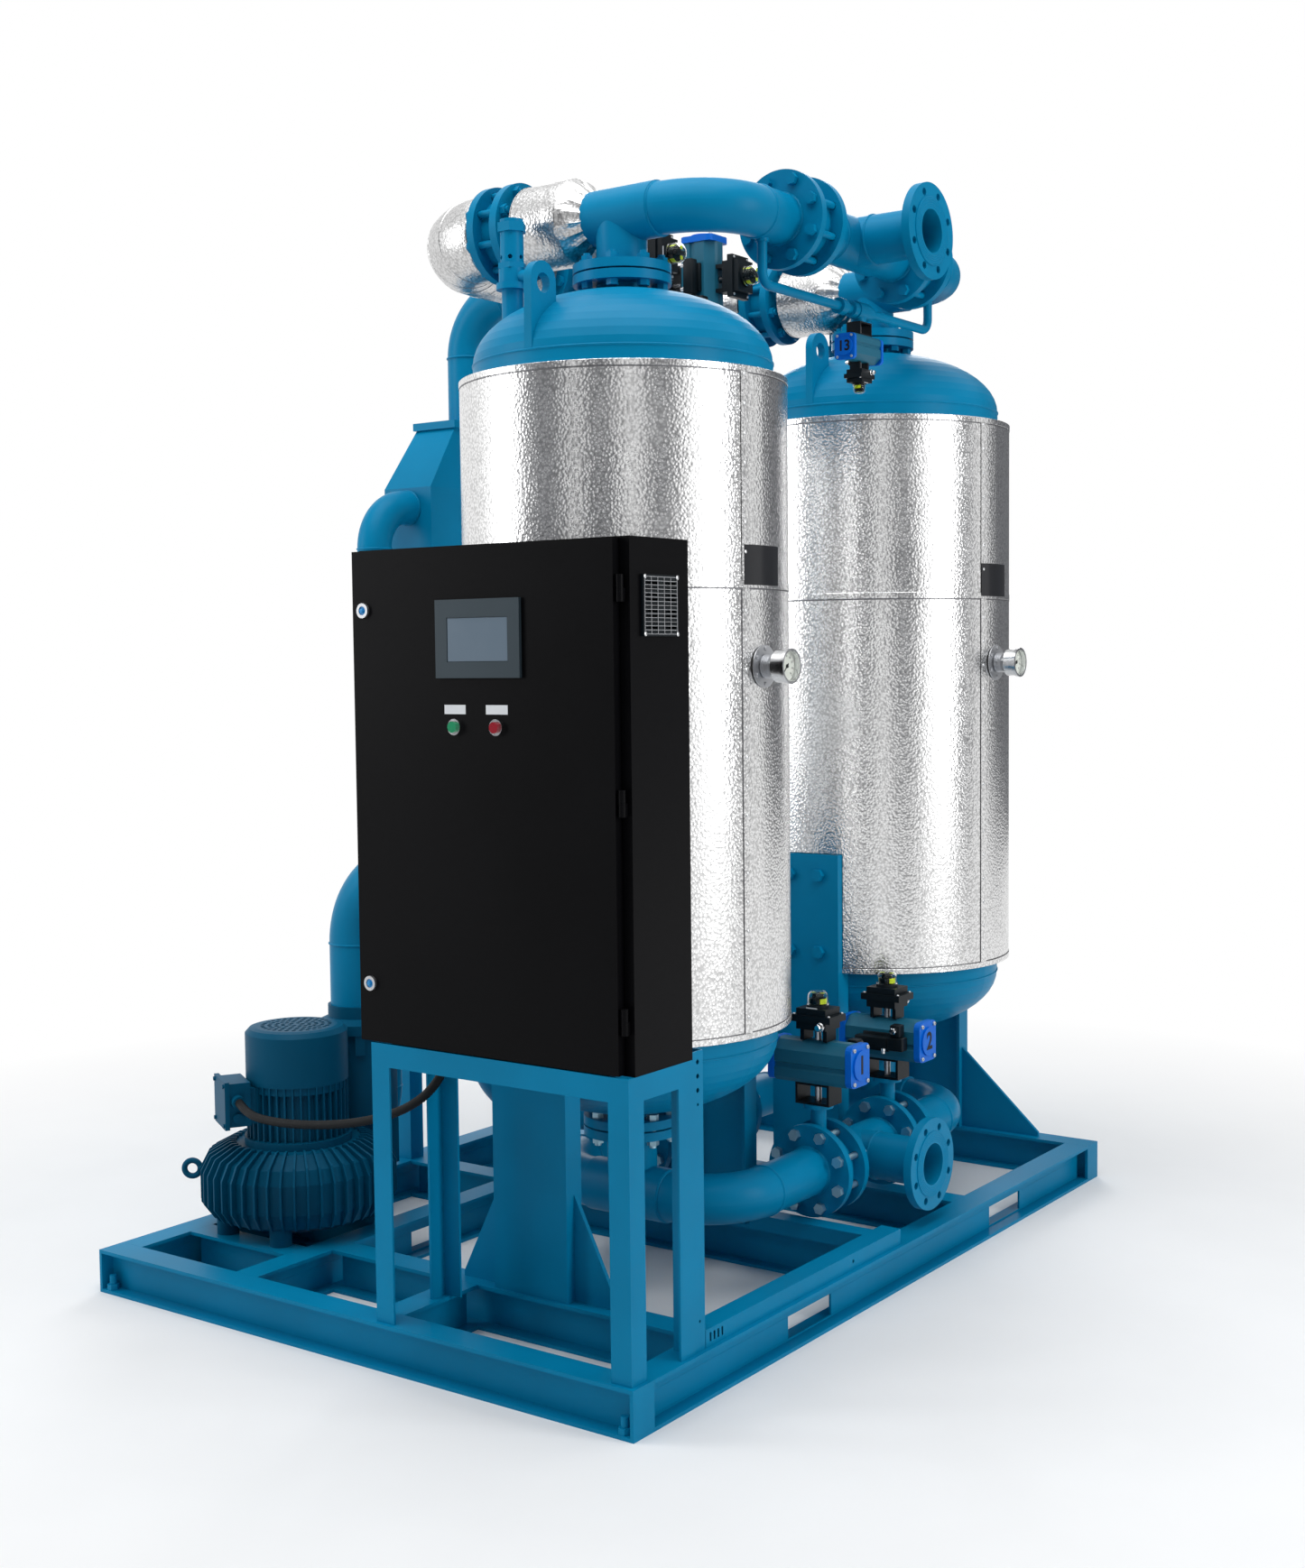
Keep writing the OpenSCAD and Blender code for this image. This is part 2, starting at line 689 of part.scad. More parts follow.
// Tee below a tower with a bend to the inlet header (+X) and one to the exhaust header (-X)
module lower_spool_form(r, run_r, end) {
    y1 = face_y(valve_off, valve_t);
    rod([0, 0, low_z], "z", low_flange_z - low_z + end, r);
    rod([-tee_c, 0, low_z], "x", 2 * tee_c, run_r);
    for (s = [0, 1]) mirror([s, 0, 0]) {
        translate([tee_c, 0, low_z]) bend(r, bend_r);
        rod([tee_c + bend_r, bend_r, low_z], "y", y1 - bend_r + end, r);
    }
}

module lower_spool() {
    y1 = face_y(valve_off, valve_t);
    difference() {
        union() {
            lower_spool_form(pipe_r, tee_r, -1);
            flange_at([0, 0, low_flange_z], "+z");
            for (s = [-1, 1]) flange_at([s * (tee_c + bend_r), y1, low_z], "+y");
        }
        lower_spool_form(pipe_ir, tee_ir, 1);
        for (s = [-1, 1]) {
            weld_line([s * tee_c, 0, low_z], "x", tee_r);
            weld_line([s * (tee_c + bend_r), bend_r, low_z], "y", pipe_r);
        }
    }
}

module lower_spool_1() { color(paint) at_tower(0) lower_spool(); }

module lower_spool_2() { color(paint) at_tower(1) lower_spool(); }

// Tee above a tower with a bend to the outlet header (+X) and a straight branch to the hot side (-X)
module upper_spool_form(r, run_r, end) {
    y1 = face_y(check_off, check_t);
    rod([0, 0, top_flange_z - end], "z", high_z - top_flange_z + end, r);
    rod([-tee_c, 0, high_z], "x", 2 * tee_c, run_r);
    rod([hot_gap_x - tower_x - end, 0, high_z], "x", tower_x - hot_gap_x + tee_c + end, r);
    translate([tee_c, 0, high_z]) bend(r, bend_r);
    rod([tee_c + bend_r, bend_r, high_z], "y", y1 - bend_r + end, r + 0.5);
}

module upper_spool() {
    boss_y = line_y[0] - tower_y[0];
    difference() {
        union() {
            upper_spool_form(pipe_r, tee_r, -1);
            translate([0, 0, top_flange_z]) rotate([180, 0, 0]) flange();
            flange_at([tee_c + bend_r, face_y(check_off, check_t), high_z], "+y");
            flange_at([hot_gap_x - tower_x, 0, high_z], "-x");
            rod([tee_c + bend_r, boss_y, high_z - pipe_r - 6], "z", 20, line_r + 4);
        }
        upper_spool_form(pipe_ir, tee_ir, 1);
        rod([tee_c + bend_r, boss_y, high_z - pipe_r - 7], "z", 30, line_r - 2);
        weld_line([tee_c, 0, high_z], "x", tee_r);
        weld_line([tee_c + bend_r, bend_r, high_z], "y", pipe_r);
    }
}

module upper_spool_1() { color(paint) at_tower(0) upper_spool(); }

module upper_spool_2() { color(paint) at_tower(1) upper_spool(); }

// Straight run of a header between two valves, along Y, with a thicker tee body
module header_run(r, run_r, half, end) {
    rod([0, -half - end, 0], "y", 2 * (half + end), r);
    rod([0, -tee_c, 0], "y", 2 * tee_c, run_r);
}

// Header tee with a flange at each end of its run and one on its +X branch
module port_tee(half, reach) {
    difference() {
        union() {
            header_run(pipe_r, tee_r, half, -1);
            rod([0, 0, 0], "x", reach - 1, pipe_r);
            flange_at([0, half, 0], "+y");
            mirror([0, 1, 0]) flange_at([0, half, 0], "+y");
            flange_at([reach, 0, 0], "+x");
        }
        header_run(pipe_ir, tee_ir, half, 1);
        rod([0, 0, 0], "x", reach + 1, pipe_ir - 1);
    }
}

module inlet_tee() {
    color(paint) translate([header_x, mid_y, low_z]) port_tee(valve_off - valve_t / 2, port_x - header_x);
}

module outlet_tee() {
    color(paint) translate([header_x, mid_y, high_z]) port_tee(check_off - check_t / 2, port_x - header_x);
}

// Exhaust branch: out to -X, then up to an open end
module exhaust_branch(r, end) {
    rod([exhaust_riser_x + bend_r, 0, 0], "x", exhaust_x - exhaust_riser_x - bend_r, r);
    translate([exhaust_riser_x + bend_r, 0, 0]) mirror([1, 0, 0]) rotate([90, 0, 0]) bend(r, bend_r);
    rod([exhaust_riser_x, 0, bend_r], "z", exhaust_top - low_z - bend_r + end, r);
}

module exhaust_tee() {
    half = valve_off - valve_t / 2;
    color(paint) translate([0, mid_y, low_z]) difference() {
        union() {
            translate([exhaust_x, 0, 0]) header_run(pipe_r, tee_r, half, -1);
            exhaust_branch(pipe_r, 0);
            flange_at([exhaust_x, half, 0], "+y");
            mirror([0, 1, 0]) flange_at([exhaust_x, half, 0], "+y");
        }
        translate([exhaust_x, 0, 0]) header_run(pipe_ir, tee_ir, half, 1);
        exhaust_branch(pipe_ir - 1, 1);
    }
}

// Hot side: a bend from each tower and a tee that drops into the heater's hood
module hot_bend_form(r, end) {
    x1 = hot_gap_x - hot_t - tower_x;
    rod([hot_x + bend_r - tower_x, 0, high_z], "x", x1 - hot_x - bend_r + tower_x + end, r);
    translate([hot_x + bend_r - tower_x, 0, high_z]) mirror([1, 0, 0]) bend(r, bend_r);
    rod([hot_x - tower_x, bend_r, high_z], "y", face_y(valve_off, valve_t) - bend_r + end, r);
}

module hot_tee_form(r, run_r, half, end) {
    translate([hot_x, mid_y, high_z]) header_run(r, run_r, half, end);
    translate([0, mid_y, high_z]) {
        rod([heater_x + bend_r, 0, 0], "x", hot_x - heater_x - bend_r, r - 0.5);
        translate([heater_x + bend_r, 0, 0]) mirror([1, 0, 0]) rotate([-90, 0, 0]) bend(r - 0.5, bend_r);
    }
    rod([heater_x, mid_y, hood_z - max(end, 0)], "z", high_z - bend_r - hood_z + max(end, 0), r - 0.5);
}

module hot_header() {
    half = valve_off - valve_t / 2;
    color(paint) {
        for (i = [0, 1]) at_tower(i) difference() {
            union() {
                hot_bend_form(pipe_r, -1);
                flange_at([hot_gap_x - hot_t - tower_x, 0, high_z], "+x");
                flange_at([hot_x - tower_x, face_y(valve_off, valve_t), high_z], "+y");
            }
            hot_bend_form(pipe_ir, 1);
        }
        difference() {
            union() {
                hot_tee_form(pipe_r, tee_r, half, -1);
                translate([hot_x, mid_y, high_z]) {
                    flange_at([0, half, 0], "+y");
                    mirror([0, 1, 0]) flange_at([0, half, 0], "+y");
                }
            }
            hot_tee_form(pipe_ir, tee_ir, half, 1);
        }
    }
}

// Foil-clad insulation on the hot branch and bend of each tower
module hot_cladding() {
    x1 = -tee_c - 6;
    len = hot_gap_x - tower_x + flange_h + 26 - x1;
    run_end = face_y(valve_off, valve_t) - flange_h - 26;
    r0 = pipe_r + seat;
    crimp = 40;
    color(bright) for (i = [0, 1]) at_tower(i) {
        translate([x1, 0, high_z]) rotate([0, -90, 0]) rotate_extrude()
            polygon([[r0, 0], [r0 + 4, 0], [clad_r, crimp], [clad_r, -len], [r0, -len]]);
        difference() {
            union() {
                translate([hot_x + bend_r - tower_x, 0, high_z]) mirror([1, 0, 0]) bend(clad_r, bend_r);
                rod([hot_x - tower_x, bend_r, high_z], "y", run_end - bend_r, clad_r);
            }
            translate([hot_x + bend_r - tower_x, 0, high_z]) mirror([1, 0, 0]) bend(r0, bend_r);
            rod([hot_x - tower_x, bend_r, high_z], "y", run_end - bend_r + 1, r0);
        }
    }
}

// Valves

// Places a valve shape, modelled with its pipe along Y and its stem along Z
module at_valve(k) { translate(valve_places[k][0]) rotate(valve_places[k][1]) children(); }

// Places the small drive of the filling valve, stem downwards and body along Y
module at_fill() { translate([header_x, fill_y, line_z]) rotate([180, 0, 90]) scale(small) children(); }

// Places a drive shape on every valve, its foot at z = 0
module on_drives() {
    for (k = [0 : len(valve_places) - 1]) at_valve(k) translate([0, 0, drive_gap]) children();
    at_fill() translate([0, 0, ball_gap]) children();
}

module butterfly_body() {
    difference() {
        union() {
            translate([0, -valve_t / 2, 0]) to_y() cylinder(r = face_r, h = valve_t);
            translate([0, 0, face_r - 8]) cylinder(r = 19, h = drive_gap - face_r + 8);
            translate([0, 0, drive_gap - 10]) cylinder(r = 36, h = 10);
        }
        translate([0, -valve_t, 0]) to_y() cylinder(r = disc_r + 3, h = 2 * valve_t);
        cylinder(r = stem_r + run_gap, h = drive_gap + 1);
    }
}

// Wafer check valve along Y: two half plates folded shut on a central post
module check_body(t) {
    difference() {
        translate([0, -t / 2, 0]) to_y() cylinder(r = face_r, h = t);
        translate([0, -t, 0]) to_y() cylinder(r = pipe_ir, h = t - 4);
        translate([0, 4, 0]) to_y() cylinder(r = pipe_ir, h = t);
    }
}

module wafer_valves() {
    color(paint) {
        for (k = [0 : len(valve_places) - 1]) at_valve(k) butterfly_body();
        for (s = [-1, 1]) {
            translate([header_x, mid_y + s * check_off, high_z]) check_body(check_t);
            translate([hot_gap_x - hot_t / 2, mid_y + s * tower_pitch / 2, high_z]) rotate([0, 0, 90])
                check_body(hot_t);
        }
    }
}

// Section of an actuator body in YZ, standing on z = 0: barrel with side grooves
module drive_section() {
    w = drive_w / 2;
    polygon([[-w + 8, 0], [w - 8, 0], [w, 10], [w, 30], [w - 5, 34], [w - 5, 42], [w, 46], [w, drive_h - 24],
        [w - 22, drive_h - 4], [w - 30, drive_h], [-w + 30, drive_h], [-w + 22, drive_h - 4],
        [-w, drive_h - 24], [-w, 46], [-w + 5, 42], [-w + 5, 34], [-w, 30], [-w, 10]]);
}

module valve_actuators() {
    color([0.3, 0.42, 0.42]) on_drives() difference() {
        union() {
            for (z = [0, bracket_h - 6]) box([-46, -30, z], [46, 30, z + 6]);
            for (x = [-46, 40]) box([x, -30, 0], [x + 6, 30, bracket_h]);
            translate([-drive_l / 2, 0, bracket_h]) rotate([90, 0, 90]) linear_extrude(drive_l)
                drive_section();
        }
        translate([0, 0, -1]) cylinder(r = stem_r + seat, h = stem_top);
    }
}

// Moulded end caps, one at each end of every actuator
module actuator_caps() {
    cap_t = 16;
    color(cap_blue) on_drives() for (s = [0, 1]) mirror([s, 0, 0]) translate([drive_l / 2, 0, bracket_h]) {
        rotate([90, 0, 90]) linear_extrude(cap_t)
            polygon([for (c = [[1, 0], [1, 1], [-1, 1], [-1, 0]]) for (k = [0 : 4])
            let (a = (c[0] > 0 ? (c[1] > 0 ? 0 : -90) : (c[1] > 0 ? 90 : 180)) + 22.5 * k)
            [c[0] * (drive_w / 2 - 14) + 17 * cos(a), (c[1] > 0 ? drive_h - 15 : 15) + 15 * sin(a)]]);
        translate([cap_t - 1, 0, drive_h / 2]) to_x() cylinder(r = drive_w / 2 - 6, h = 6);
    }
}

module switch_boxes() {
    z0 = bracket_h + drive_h;
    color(black) on_drives() difference() {
        union() {
            for (x = [-36, 26]) box([x, -22, z0], [x + 10, 22, box_low]);
            box([-40, -34, box_low], [40, 34, box_low + box_tall - 8]);
            box([-54, -38, box_low + 18], [54, 38, box_low + 34]);
            translate([0, 0, box_low + box_tall - 9]) cylinder(r = 27, h = 8);
        }
        translate([0, 0, z0 - 1]) cylinder(r = stem_r + seat, h = box_tall + 60);
    }
}

// Indicator knob on top of a stem whose foot is at z = 0
module indicator() {
    translate([0, 0, stem_top]) {
        cylinder(r = 20, h = puck_h - 12);
        box([-5, -18, 0], [5, 18, puck_h]);
    }
}

// Disc, stem and indicator of butterfly valve k, shut at rest
module disc_and_stem(k) {
    at_valve(k) {
        translate([0, -5, 0]) to_y() cylinder(r = disc_r, h = 10);
        translate([0, 0, -disc_r + 8]) cylinder(r = stem_r, h = drive_gap + stem_top + disc_r - 7);
        translate([0, 0, drive_gap]) indicator();
    }
}

module inlet_disc_1() { color(steel) disc_and_stem(0); }

module inlet_disc_2() { color(steel) disc_and_stem(1); }

module exhaust_disc_1() { color(steel) disc_and_stem(2); }

module exhaust_disc_2() { color(steel) disc_and_stem(3); }

module hot_disc_1() { color(steel) disc_and_stem(4); }

module hot_disc_2() { color(steel) disc_and_stem(5); }

module fill_stem() {
    color(steel) at_fill() {
        translate([0, 0, 14]) cylinder(r = stem_r, h = ball_gap + stem_top - 13);
        translate([0, 0, ball_gap]) indicator();
    }
}

// Small bore line between the upper spools, with a union and a ball valve body
module pressurising_line() {
    top = high_z - pipe_r - 6;
    y0 = line_y[0];
    y1 = line_y[1];
    union_y = 88;
    color(paint) translate([header_x, 0, 0]) {
        rod([0, y0, line_z + line_bend], "z", top - line_z - line_bend, line_r);
        translate([0, y0, line_z + line_bend]) rotate([0, 90, 0]) bend(line_r, line_bend);
        rod([0, y0 + line_bend, line_z], "y", fill_y - ball_l / 2 - y0 - line_bend, line_r);
        rod([0, union_y, line_z], "y", 26, 19);
        rod([0, fill_y + ball_l / 2, line_z], "y", y1 - line_bend - fill_y - ball_l / 2, line_r);
        translate([0, y1, line_z + line_bend]) mirror([0, 1, 0]) rotate([0, 90, 0]) bend(line_r, line_bend);
        rod([0, y1, line_z + line_bend], "z", top - line_z - line_bend, line_r);
        translate([0, fill_y, line_z]) difference() {
            union() {
                rod([0, -ball_l / 2, 0], "y", ball_l, ball_r - 3);
                rod([0, -24, 0], "y", 48, ball_r);
                rod([0, 0, -ball_gap * small], "z", ball_gap * small, 17);
            }
            rod([0, 0, -ball_gap * small - 1], "z", (ball_gap - 13) * small + 1, stem_r * small + run_gap);
        }
    }
}

// Bolts of every flange pair
module flange_bolts() {
    color(steel) {
        for (i = [0, 1]) at_tower(i) {
            translate([0, 0, top_flange_z]) flange_bolt_set(0);
            translate([0, 0, low_flange_z]) rotate([180, 0, 0]) flange_bolt_set(0);
        }
        for (k = [0 : len(valve_places) - 1]) translate(valve_places[k][0]) to_y() flange_bolt_set(valve_t);
        for (s = [-1, 1]) {
            translate([header_x, mid_y + s * check_off, high_z]) to_y() flange_bolt_set(check_t);
            translate([hot_gap_x - hot_t / 2, mid_y + s * tower_pitch / 2, high_z]) to_x()
                flange_bolt_set(hot_t);
        }
    }
}

// Control cabinet

// Body of separate sheets: floor, roof, sides and back, with a flat frame of four strips behind the door
module cabinet_body() {
    x0 = cab_x0 + cab_t + seat;
    x1 = cab_x1 - cab_t - seat;
    z0 = cab_z + cab_t + seat;
    z1 = cab_top - cab_t - seat;
    y1 = body_y0 + cab_t;
    color(black) {
        for (z = [cab_z, cab_top - cab_t]) box([cab_x0, body_y0, z], [cab_x1, cab_y1, z + cab_t]);
        box([cab_x0, body_y0, z0], [cab_x0 + cab_t, cab_y1, z1]);
        difference() {
            box([cab_x1 - cab_t, body_y0, z0], [cab_x1, cab_y1, z1]);
            box([cab_x1 - 5, vent_y - vent_w / 2 + 8, vent_z - vent_h / 2 + 8],
                [cab_x1 + 5, vent_y + vent_w / 2 - 8, vent_z + vent_h / 2 - 8]);
        }
        box([x0, cab_y1 - cab_t, z0], [x1, cab_y1, z1]);
        box([x0, body_y0, z0], [cab_x0 + lip, y1, z1]);
        box([door_x1 - lip, body_y0, z0], [x1, y1, z1]);
        box([cab_x0 + lip + seat, body_y0, z0], [door_x1 - lip - seat, y1, cab_z + lip]);
        box([cab_x0 + lip + seat, body_y0, cab_top - lip], [door_x1 - lip - seat, y1, z1]);
        rod(conduit_gland, "z", cab_z - conduit_gland[2] - seat, 15);
    }
}

// Folded door pan with its hinge knuckles
module cabinet_door() {
    x0 = cab_x0 + 1;
    y1 = cab_y0 + door_t;
    color(black) difference() {
        union() {
            difference() {
                box([x0, cab_y0, cab_z + 3], [door_x1, y1, cab_top - 3]);
                box([x0 + cab_t, cab_y0 + cab_t, cab_z + 3 + cab_t],
                    [door_x1 - cab_t, y1 + 1, cab_top - 3 - cab_t]);
            }
            for (z = hinge_z) {
                rod([hinge_x, hinge_y, z + seat], "z", knuckle_h - seat, knuckle_r);
                box([door_x1 - 1, hinge_y - 3, z + seat], [hinge_x, hinge_y + 3, z + knuckle_h]);
            }
        }
        for (z = hinge_z) rod([hinge_x, hinge_y, z - 1], "z", knuckle_h + 2, pin_r + run_gap);
        for (z = lock_z) rod([lock_x, cab_y0 - 1, z], "y", 5, lock_r + run_gap);
        for (x = button_x) rod([x, cab_y0 - 1, button_z], "y", 5, sleeve_r + 0.25);
        box([panel_x - panel_w / 2 + 10, cab_y0 - 1, panel_z - panel_h / 2 + 10],
            [panel_x + panel_w / 2 - 10, cab_y0 + 4, panel_z + panel_h / 2 - 10]);
    }
}

// Body halves of the hinges with their pins
module door_hinges() {
    color(black) for (z = hinge_z) {
        rod([hinge_x, hinge_y, z - knuckle_h], "z", knuckle_h, knuckle_r);
        rod([hinge_x, hinge_y, z - 1], "z", knuckle_h + 1, pin_r);
        box([hinge_x - 5, hinge_y, z - knuckle_h], [hinge_x + 5, body_y0, z]);
    }
}

// Quarter-turn lock: ring, shaft and, on the shaft's spigot, a cam that stands clear of the frame at rest
module door_lock(z) {
    cam_y = body_y0 + cab_t + 2;
    translate([lock_x, 0, z]) {
        difference() {
            rod([0, cab_y0 - 6, 0], "y", 6, lock_r + 4);
            rod([0, cab_y0 - 7, 0], "y", 4, lock_r - 2);
        }
        rod([0, cab_y0 - 4, 0], "y", cam_y - seat - cab_y0 + 4, lock_r);
        rod([0, cam_y - 1, 0], "y", 8, spigot_r);
        difference() {
            box([-9, cam_y, -9], [9, cam_y + 4, 27]);
            rod([0, cam_y - 1, 0], "y", 6, spigot_r + seat);
        }
    }
}

module lock_upper() { color(steel) door_lock(lock_z[1]); }

module lock_lower() { color(steel) door_lock(lock_z[0]); }

module touch_panel() {
    w = panel_w / 2;
    h = panel_h / 2;
    color([0.05, 0.05, 0.06]) difference() {
        union() {
            box([panel_x - w, cab_y0 - 7, panel_z - h], [panel_x + w, cab_y0, panel_z + h]);
            box([panel_x - w + 11, cab_y0 - 1, panel_z - h + 11],
                [panel_x + w - 11, cab_y0 + 42, panel_z + h - 11]);
        }
        box([panel_x - w + 30, cab_y0 - 8, panel_z - h + 31],
            [panel_x + w - 29, cab_y0 - 5, panel_z + h - 35]);
    }
}

// Push button: cap in front, spindle through the sleeve
module push_button(x) {
    translate([x, 0, button_z]) {
        rod([0, cab_y0 - 12, 0], "y", 8, button_r);
        rod([0, cab_y0 - 5, 0], "y", 33, 6);
    }
}

module start_button() { color([0.1, 0.6, 0.25]) push_button(button_x[0]); }

module stop_button() { color([0.8, 0.08, 0.08]) push_button(button_x[1]); }

// Bezel, sleeve and contact block round each button, and its plain label plate
module button_bezels() {
    label_y = 34;
    color([0.75, 0.76, 0.78]) for (x = button_x) translate([x, 0, button_z]) {
        difference() {
            union() {
                rod([0, cab_y0 - 6, 0], "y", 6, bezel_r + 1);
                rod([0, cab_y0 - 1, 0], "y", 22, sleeve_r);
                box([-15, cab_y0 + 20, -15], [15, cab_y0 + 46, 15]);
            }
            rod([0, cab_y0 - 7, 0], "y", 8, button_r + seat);
            rod([0, cab_y0 - 3, 0], "y", 36, 6 + run_gap);
        }
        box([-27, cab_y0 - 1, label_y - 9], [27, cab_y0, label_y + 9]);
    }
}

module vent_grille() {
    rows = 9;
    pitch = (vent_h - 22) / rows;
    color(black) difference() {
        union() {
            box([cab_x1, vent_y - vent_w / 2, vent_z - vent_h / 2],
                [cab_x1 + 6, vent_y + vent_w / 2, vent_z + vent_h / 2]);
            box([cab_x1 - 22, vent_y - vent_w / 2 + 9, vent_z - vent_h / 2 + 9],
                [cab_x1 + 1, vent_y + vent_w / 2 - 9, vent_z + vent_h / 2 - 9]);
        }
        for (s = [-1, 1]) for (i = [0 : rows - 1])
            box([cab_x1 - 8, vent_y + s * vent_w / 4 - 20, vent_z - vent_h / 2 + 11 + pitch * (i + 0.25)],
                [cab_x1 + 7, vent_y + s * vent_w / 4 + 20, vent_z - vent_h / 2 + 11 + pitch * (i + 0.75)]);
    }
}

// Mounting plate inside the cabinet with its rows of devices
module control_panel() {
    plate_y = cab_y1 - cab_t - 18;
    color([0.78, 0.78, 0.76]) {
        box([cab_x0 + 60, plate_y, cab_z + 70], [cab_x1 - 60, plate_y + 3, cab_top - 70]);
        for (x = [cab_x0 + 90, cab_x1 - 90]) for (z = [cab_z + 100, cab_top - 100])
            rod([x, plate_y + 2, z], "y", 16, 8);
        for (k = [0 : 3]) box([cab_x0 + 90, plate_y - 9, cab_z + 160 + 190 * k],
            [cab_x1 - 90, plate_y, cab_z + 195 + 190 * k]);
        for (k = [0 : 6]) box([cab_x0 + 110 + 66 * k, plate_y - 70, cab_z + 512],
            [cab_x0 + 164 + 66 * k, plate_y - 8, cab_z + 620]);
        for (k = [0 : 4]) box([cab_x0 + 110 + 90 * k, plate_y - 90, cab_z + 312],
            [cab_x0 + 186 + 90 * k, plate_y - 8, cab_z + 420]);
        box([cab_x0 + 110, plate_y - 100, cab_z + 690], [cab_x0 + 330, plate_y - 8, cab_z + 830]);
        for (k = [0 : 7]) box([cab_x0 + 110 + 56 * k, plate_y - 46, cab_z + 138],
            [cab_x0 + 162 + 56 * k, plate_y - 8, cab_z + 212]);
    }
}

// Blower, motor and intake filter

// Outlines of the blower ring and of one cooling fin, radius against height
function ring_outline(r, h) = [[0, 0], [r - 64, 0], [r - 14, 22], [r, 58], [r, 128], [r - 14, h - 26],
    [r - 60, h], [0, h]];
function fin_outline(r, h) = [[r - 80, 20], [r - 26, 20], [r, 56], [r, 130], [r - 20, h - 18],
    [r - 70, h + 8], [r - 86, h + 8], [r - 86, 100]];

module blower_housing() {
    color([0.1, 0.1, 0.11]) translate([blower_x, blower_y, blower_z]) difference() {
        union() {
            rotate_extrude() polygon(ring_outline(blower_r - 16, blower_h - 2));
            for (i = [0 : blower_fins - 1]) rotate([0, 0, 360 / blower_fins * i]) rotate([90, 0, 0])
                translate([0, 0, -2.5]) linear_extrude(5)
                polygon(fin_outline(blower_r, blower_h - 2));
            for (x = [-1, 1]) for (y = [-1, 1])
                rod([x * 90, y * 150, beam_z - blower_z], "z", blower_z - beam_z + 20, 26);
            rod([heater_x - blower_x, 130, discharge_z - blower_z], "y", discharge_y - blower_y - 130,
                riser_r + 10);
            box([can_x - blower_x - 62, 150, 70],
                [can_x - blower_x + 62, can_y - blower_y + 70, can_z - blower_z]);
            rotate([0, 0, 217]) rod([200, 0, 118], "x", 44, 9);
            rotate([0, 0, 217]) translate([258, 0, 118]) rotate([90, 0, 0]) rotate_extrude()
                translate([19, 0]) circle(7);
        }
        rod([0, 0, impeller_z - 24], "z", 48, 122);
        rod([0, 0, impeller_z], "z", 120, shaft_r + run_gap);
        rod([heater_x - blower_x, 140, discharge_z - blower_z], "y", 100, riser_r - 4);
    }
}

// Shaft, impeller and cooling fan turning together
module blower_rotor() {
    fan_z = cowl_z + 34 - blower_z;
    color(steel) translate([blower_x, blower_y, blower_z]) {
        rod([0, 0, impeller_z - 12], "z", fan_z + 40 - impeller_z + 12, shaft_r);
        difference() {
            rod([0, 0, impeller_z - 18], "z", 36, 116);
            for (k = [0 : 11]) rotate([0, 0, 30 * k]) rod([92, 0, impeller_z + 6], "z", 20, 15);
        }
        rod([0, 0, fan_z], "z", 34, 34);
        for (k = [0 : 5]) rotate([0, 0, 60 * k]) box([20, -3, fan_z], [100, 3, fan_z + 34]);
    }
}

// Finned motor frame with the flange that sits on the blower and a pad for its terminal box
module motor_frame() {
    color([0.1, 0.1, 0.11]) translate([blower_x, blower_y, motor_z]) difference() {
        h = cowl_z - motor_z;
        union() {
            cylinder(r = motor_r - 14, h = h - 12);
            translate([0, 0, -2]) cylinder(r = motor_r + 6, h = 18);
            translate([0, 0, h - 30]) cylinder(r = motor_r - 4, h = 34);
            for (i = [0 : motor_fins - 1]) rotate([0, 0, 360 / motor_fins * (i + 0.5)])
                box([motor_r - 20, -2, 10], [motor_r, 2, h - 12]);
            rotate([0, 0, 240]) box([motor_r - 30, -46, 58], [pad_x, 46, h - 14]);
        }
        translate([0, 0, -3]) cylinder(r = shaft_r + 1, h = h + 20);
    }
}

module motor_cowl() {
    z0 = cowl_z - 12 + seat;
    color([0.1, 0.1, 0.11]) translate([blower_x, blower_y, 0]) difference() {
        rotate_extrude() polygon([[0, z0], [motor_r, z0], [motor_r, cowl_top - 14],
            [motor_r - 10, cowl_top - 3], [motor_r - 24, cowl_top], [0, cowl_top]]);
        rotate_extrude() polygon([[0, z0 - 1], [motor_r - 4 + seat, z0 - 1],
            [motor_r - 4 + seat, cowl_top - 18],
            [motor_r - 15, cowl_top - 6], [0, cowl_top - 6]]);
        for (ring = [1 : 5]) for (k = [0 : 6 * ring - 1]) rotate([0, 0, 60 / ring * k])
            rod([16 * ring, 0, cowl_top - 20], "z", 30, 5.5);
    }
}

// Box on the motor's side with its lid, gland and blind plug
module terminal_box() {
    color([0.1, 0.1, 0.11]) translate([blower_x, blower_y, 0]) rotate([0, 0, 240]) {
        box([pad_x, -55, 366], [pad_x + 52, 55, 470]);
        box([pad_x + 51, -60, 361], [pad_x + 62, 60, 475]);
        rod([gland_x, 54, gland_z], "y", gland_end - 54, 15);
        rod([gland_x, 54, 388], "y", 12, 12);
        for (y = [-50, 50]) for (z = [371, 465]) rod([pad_x + 61, y, z], "x", 5, 5);
    }
}

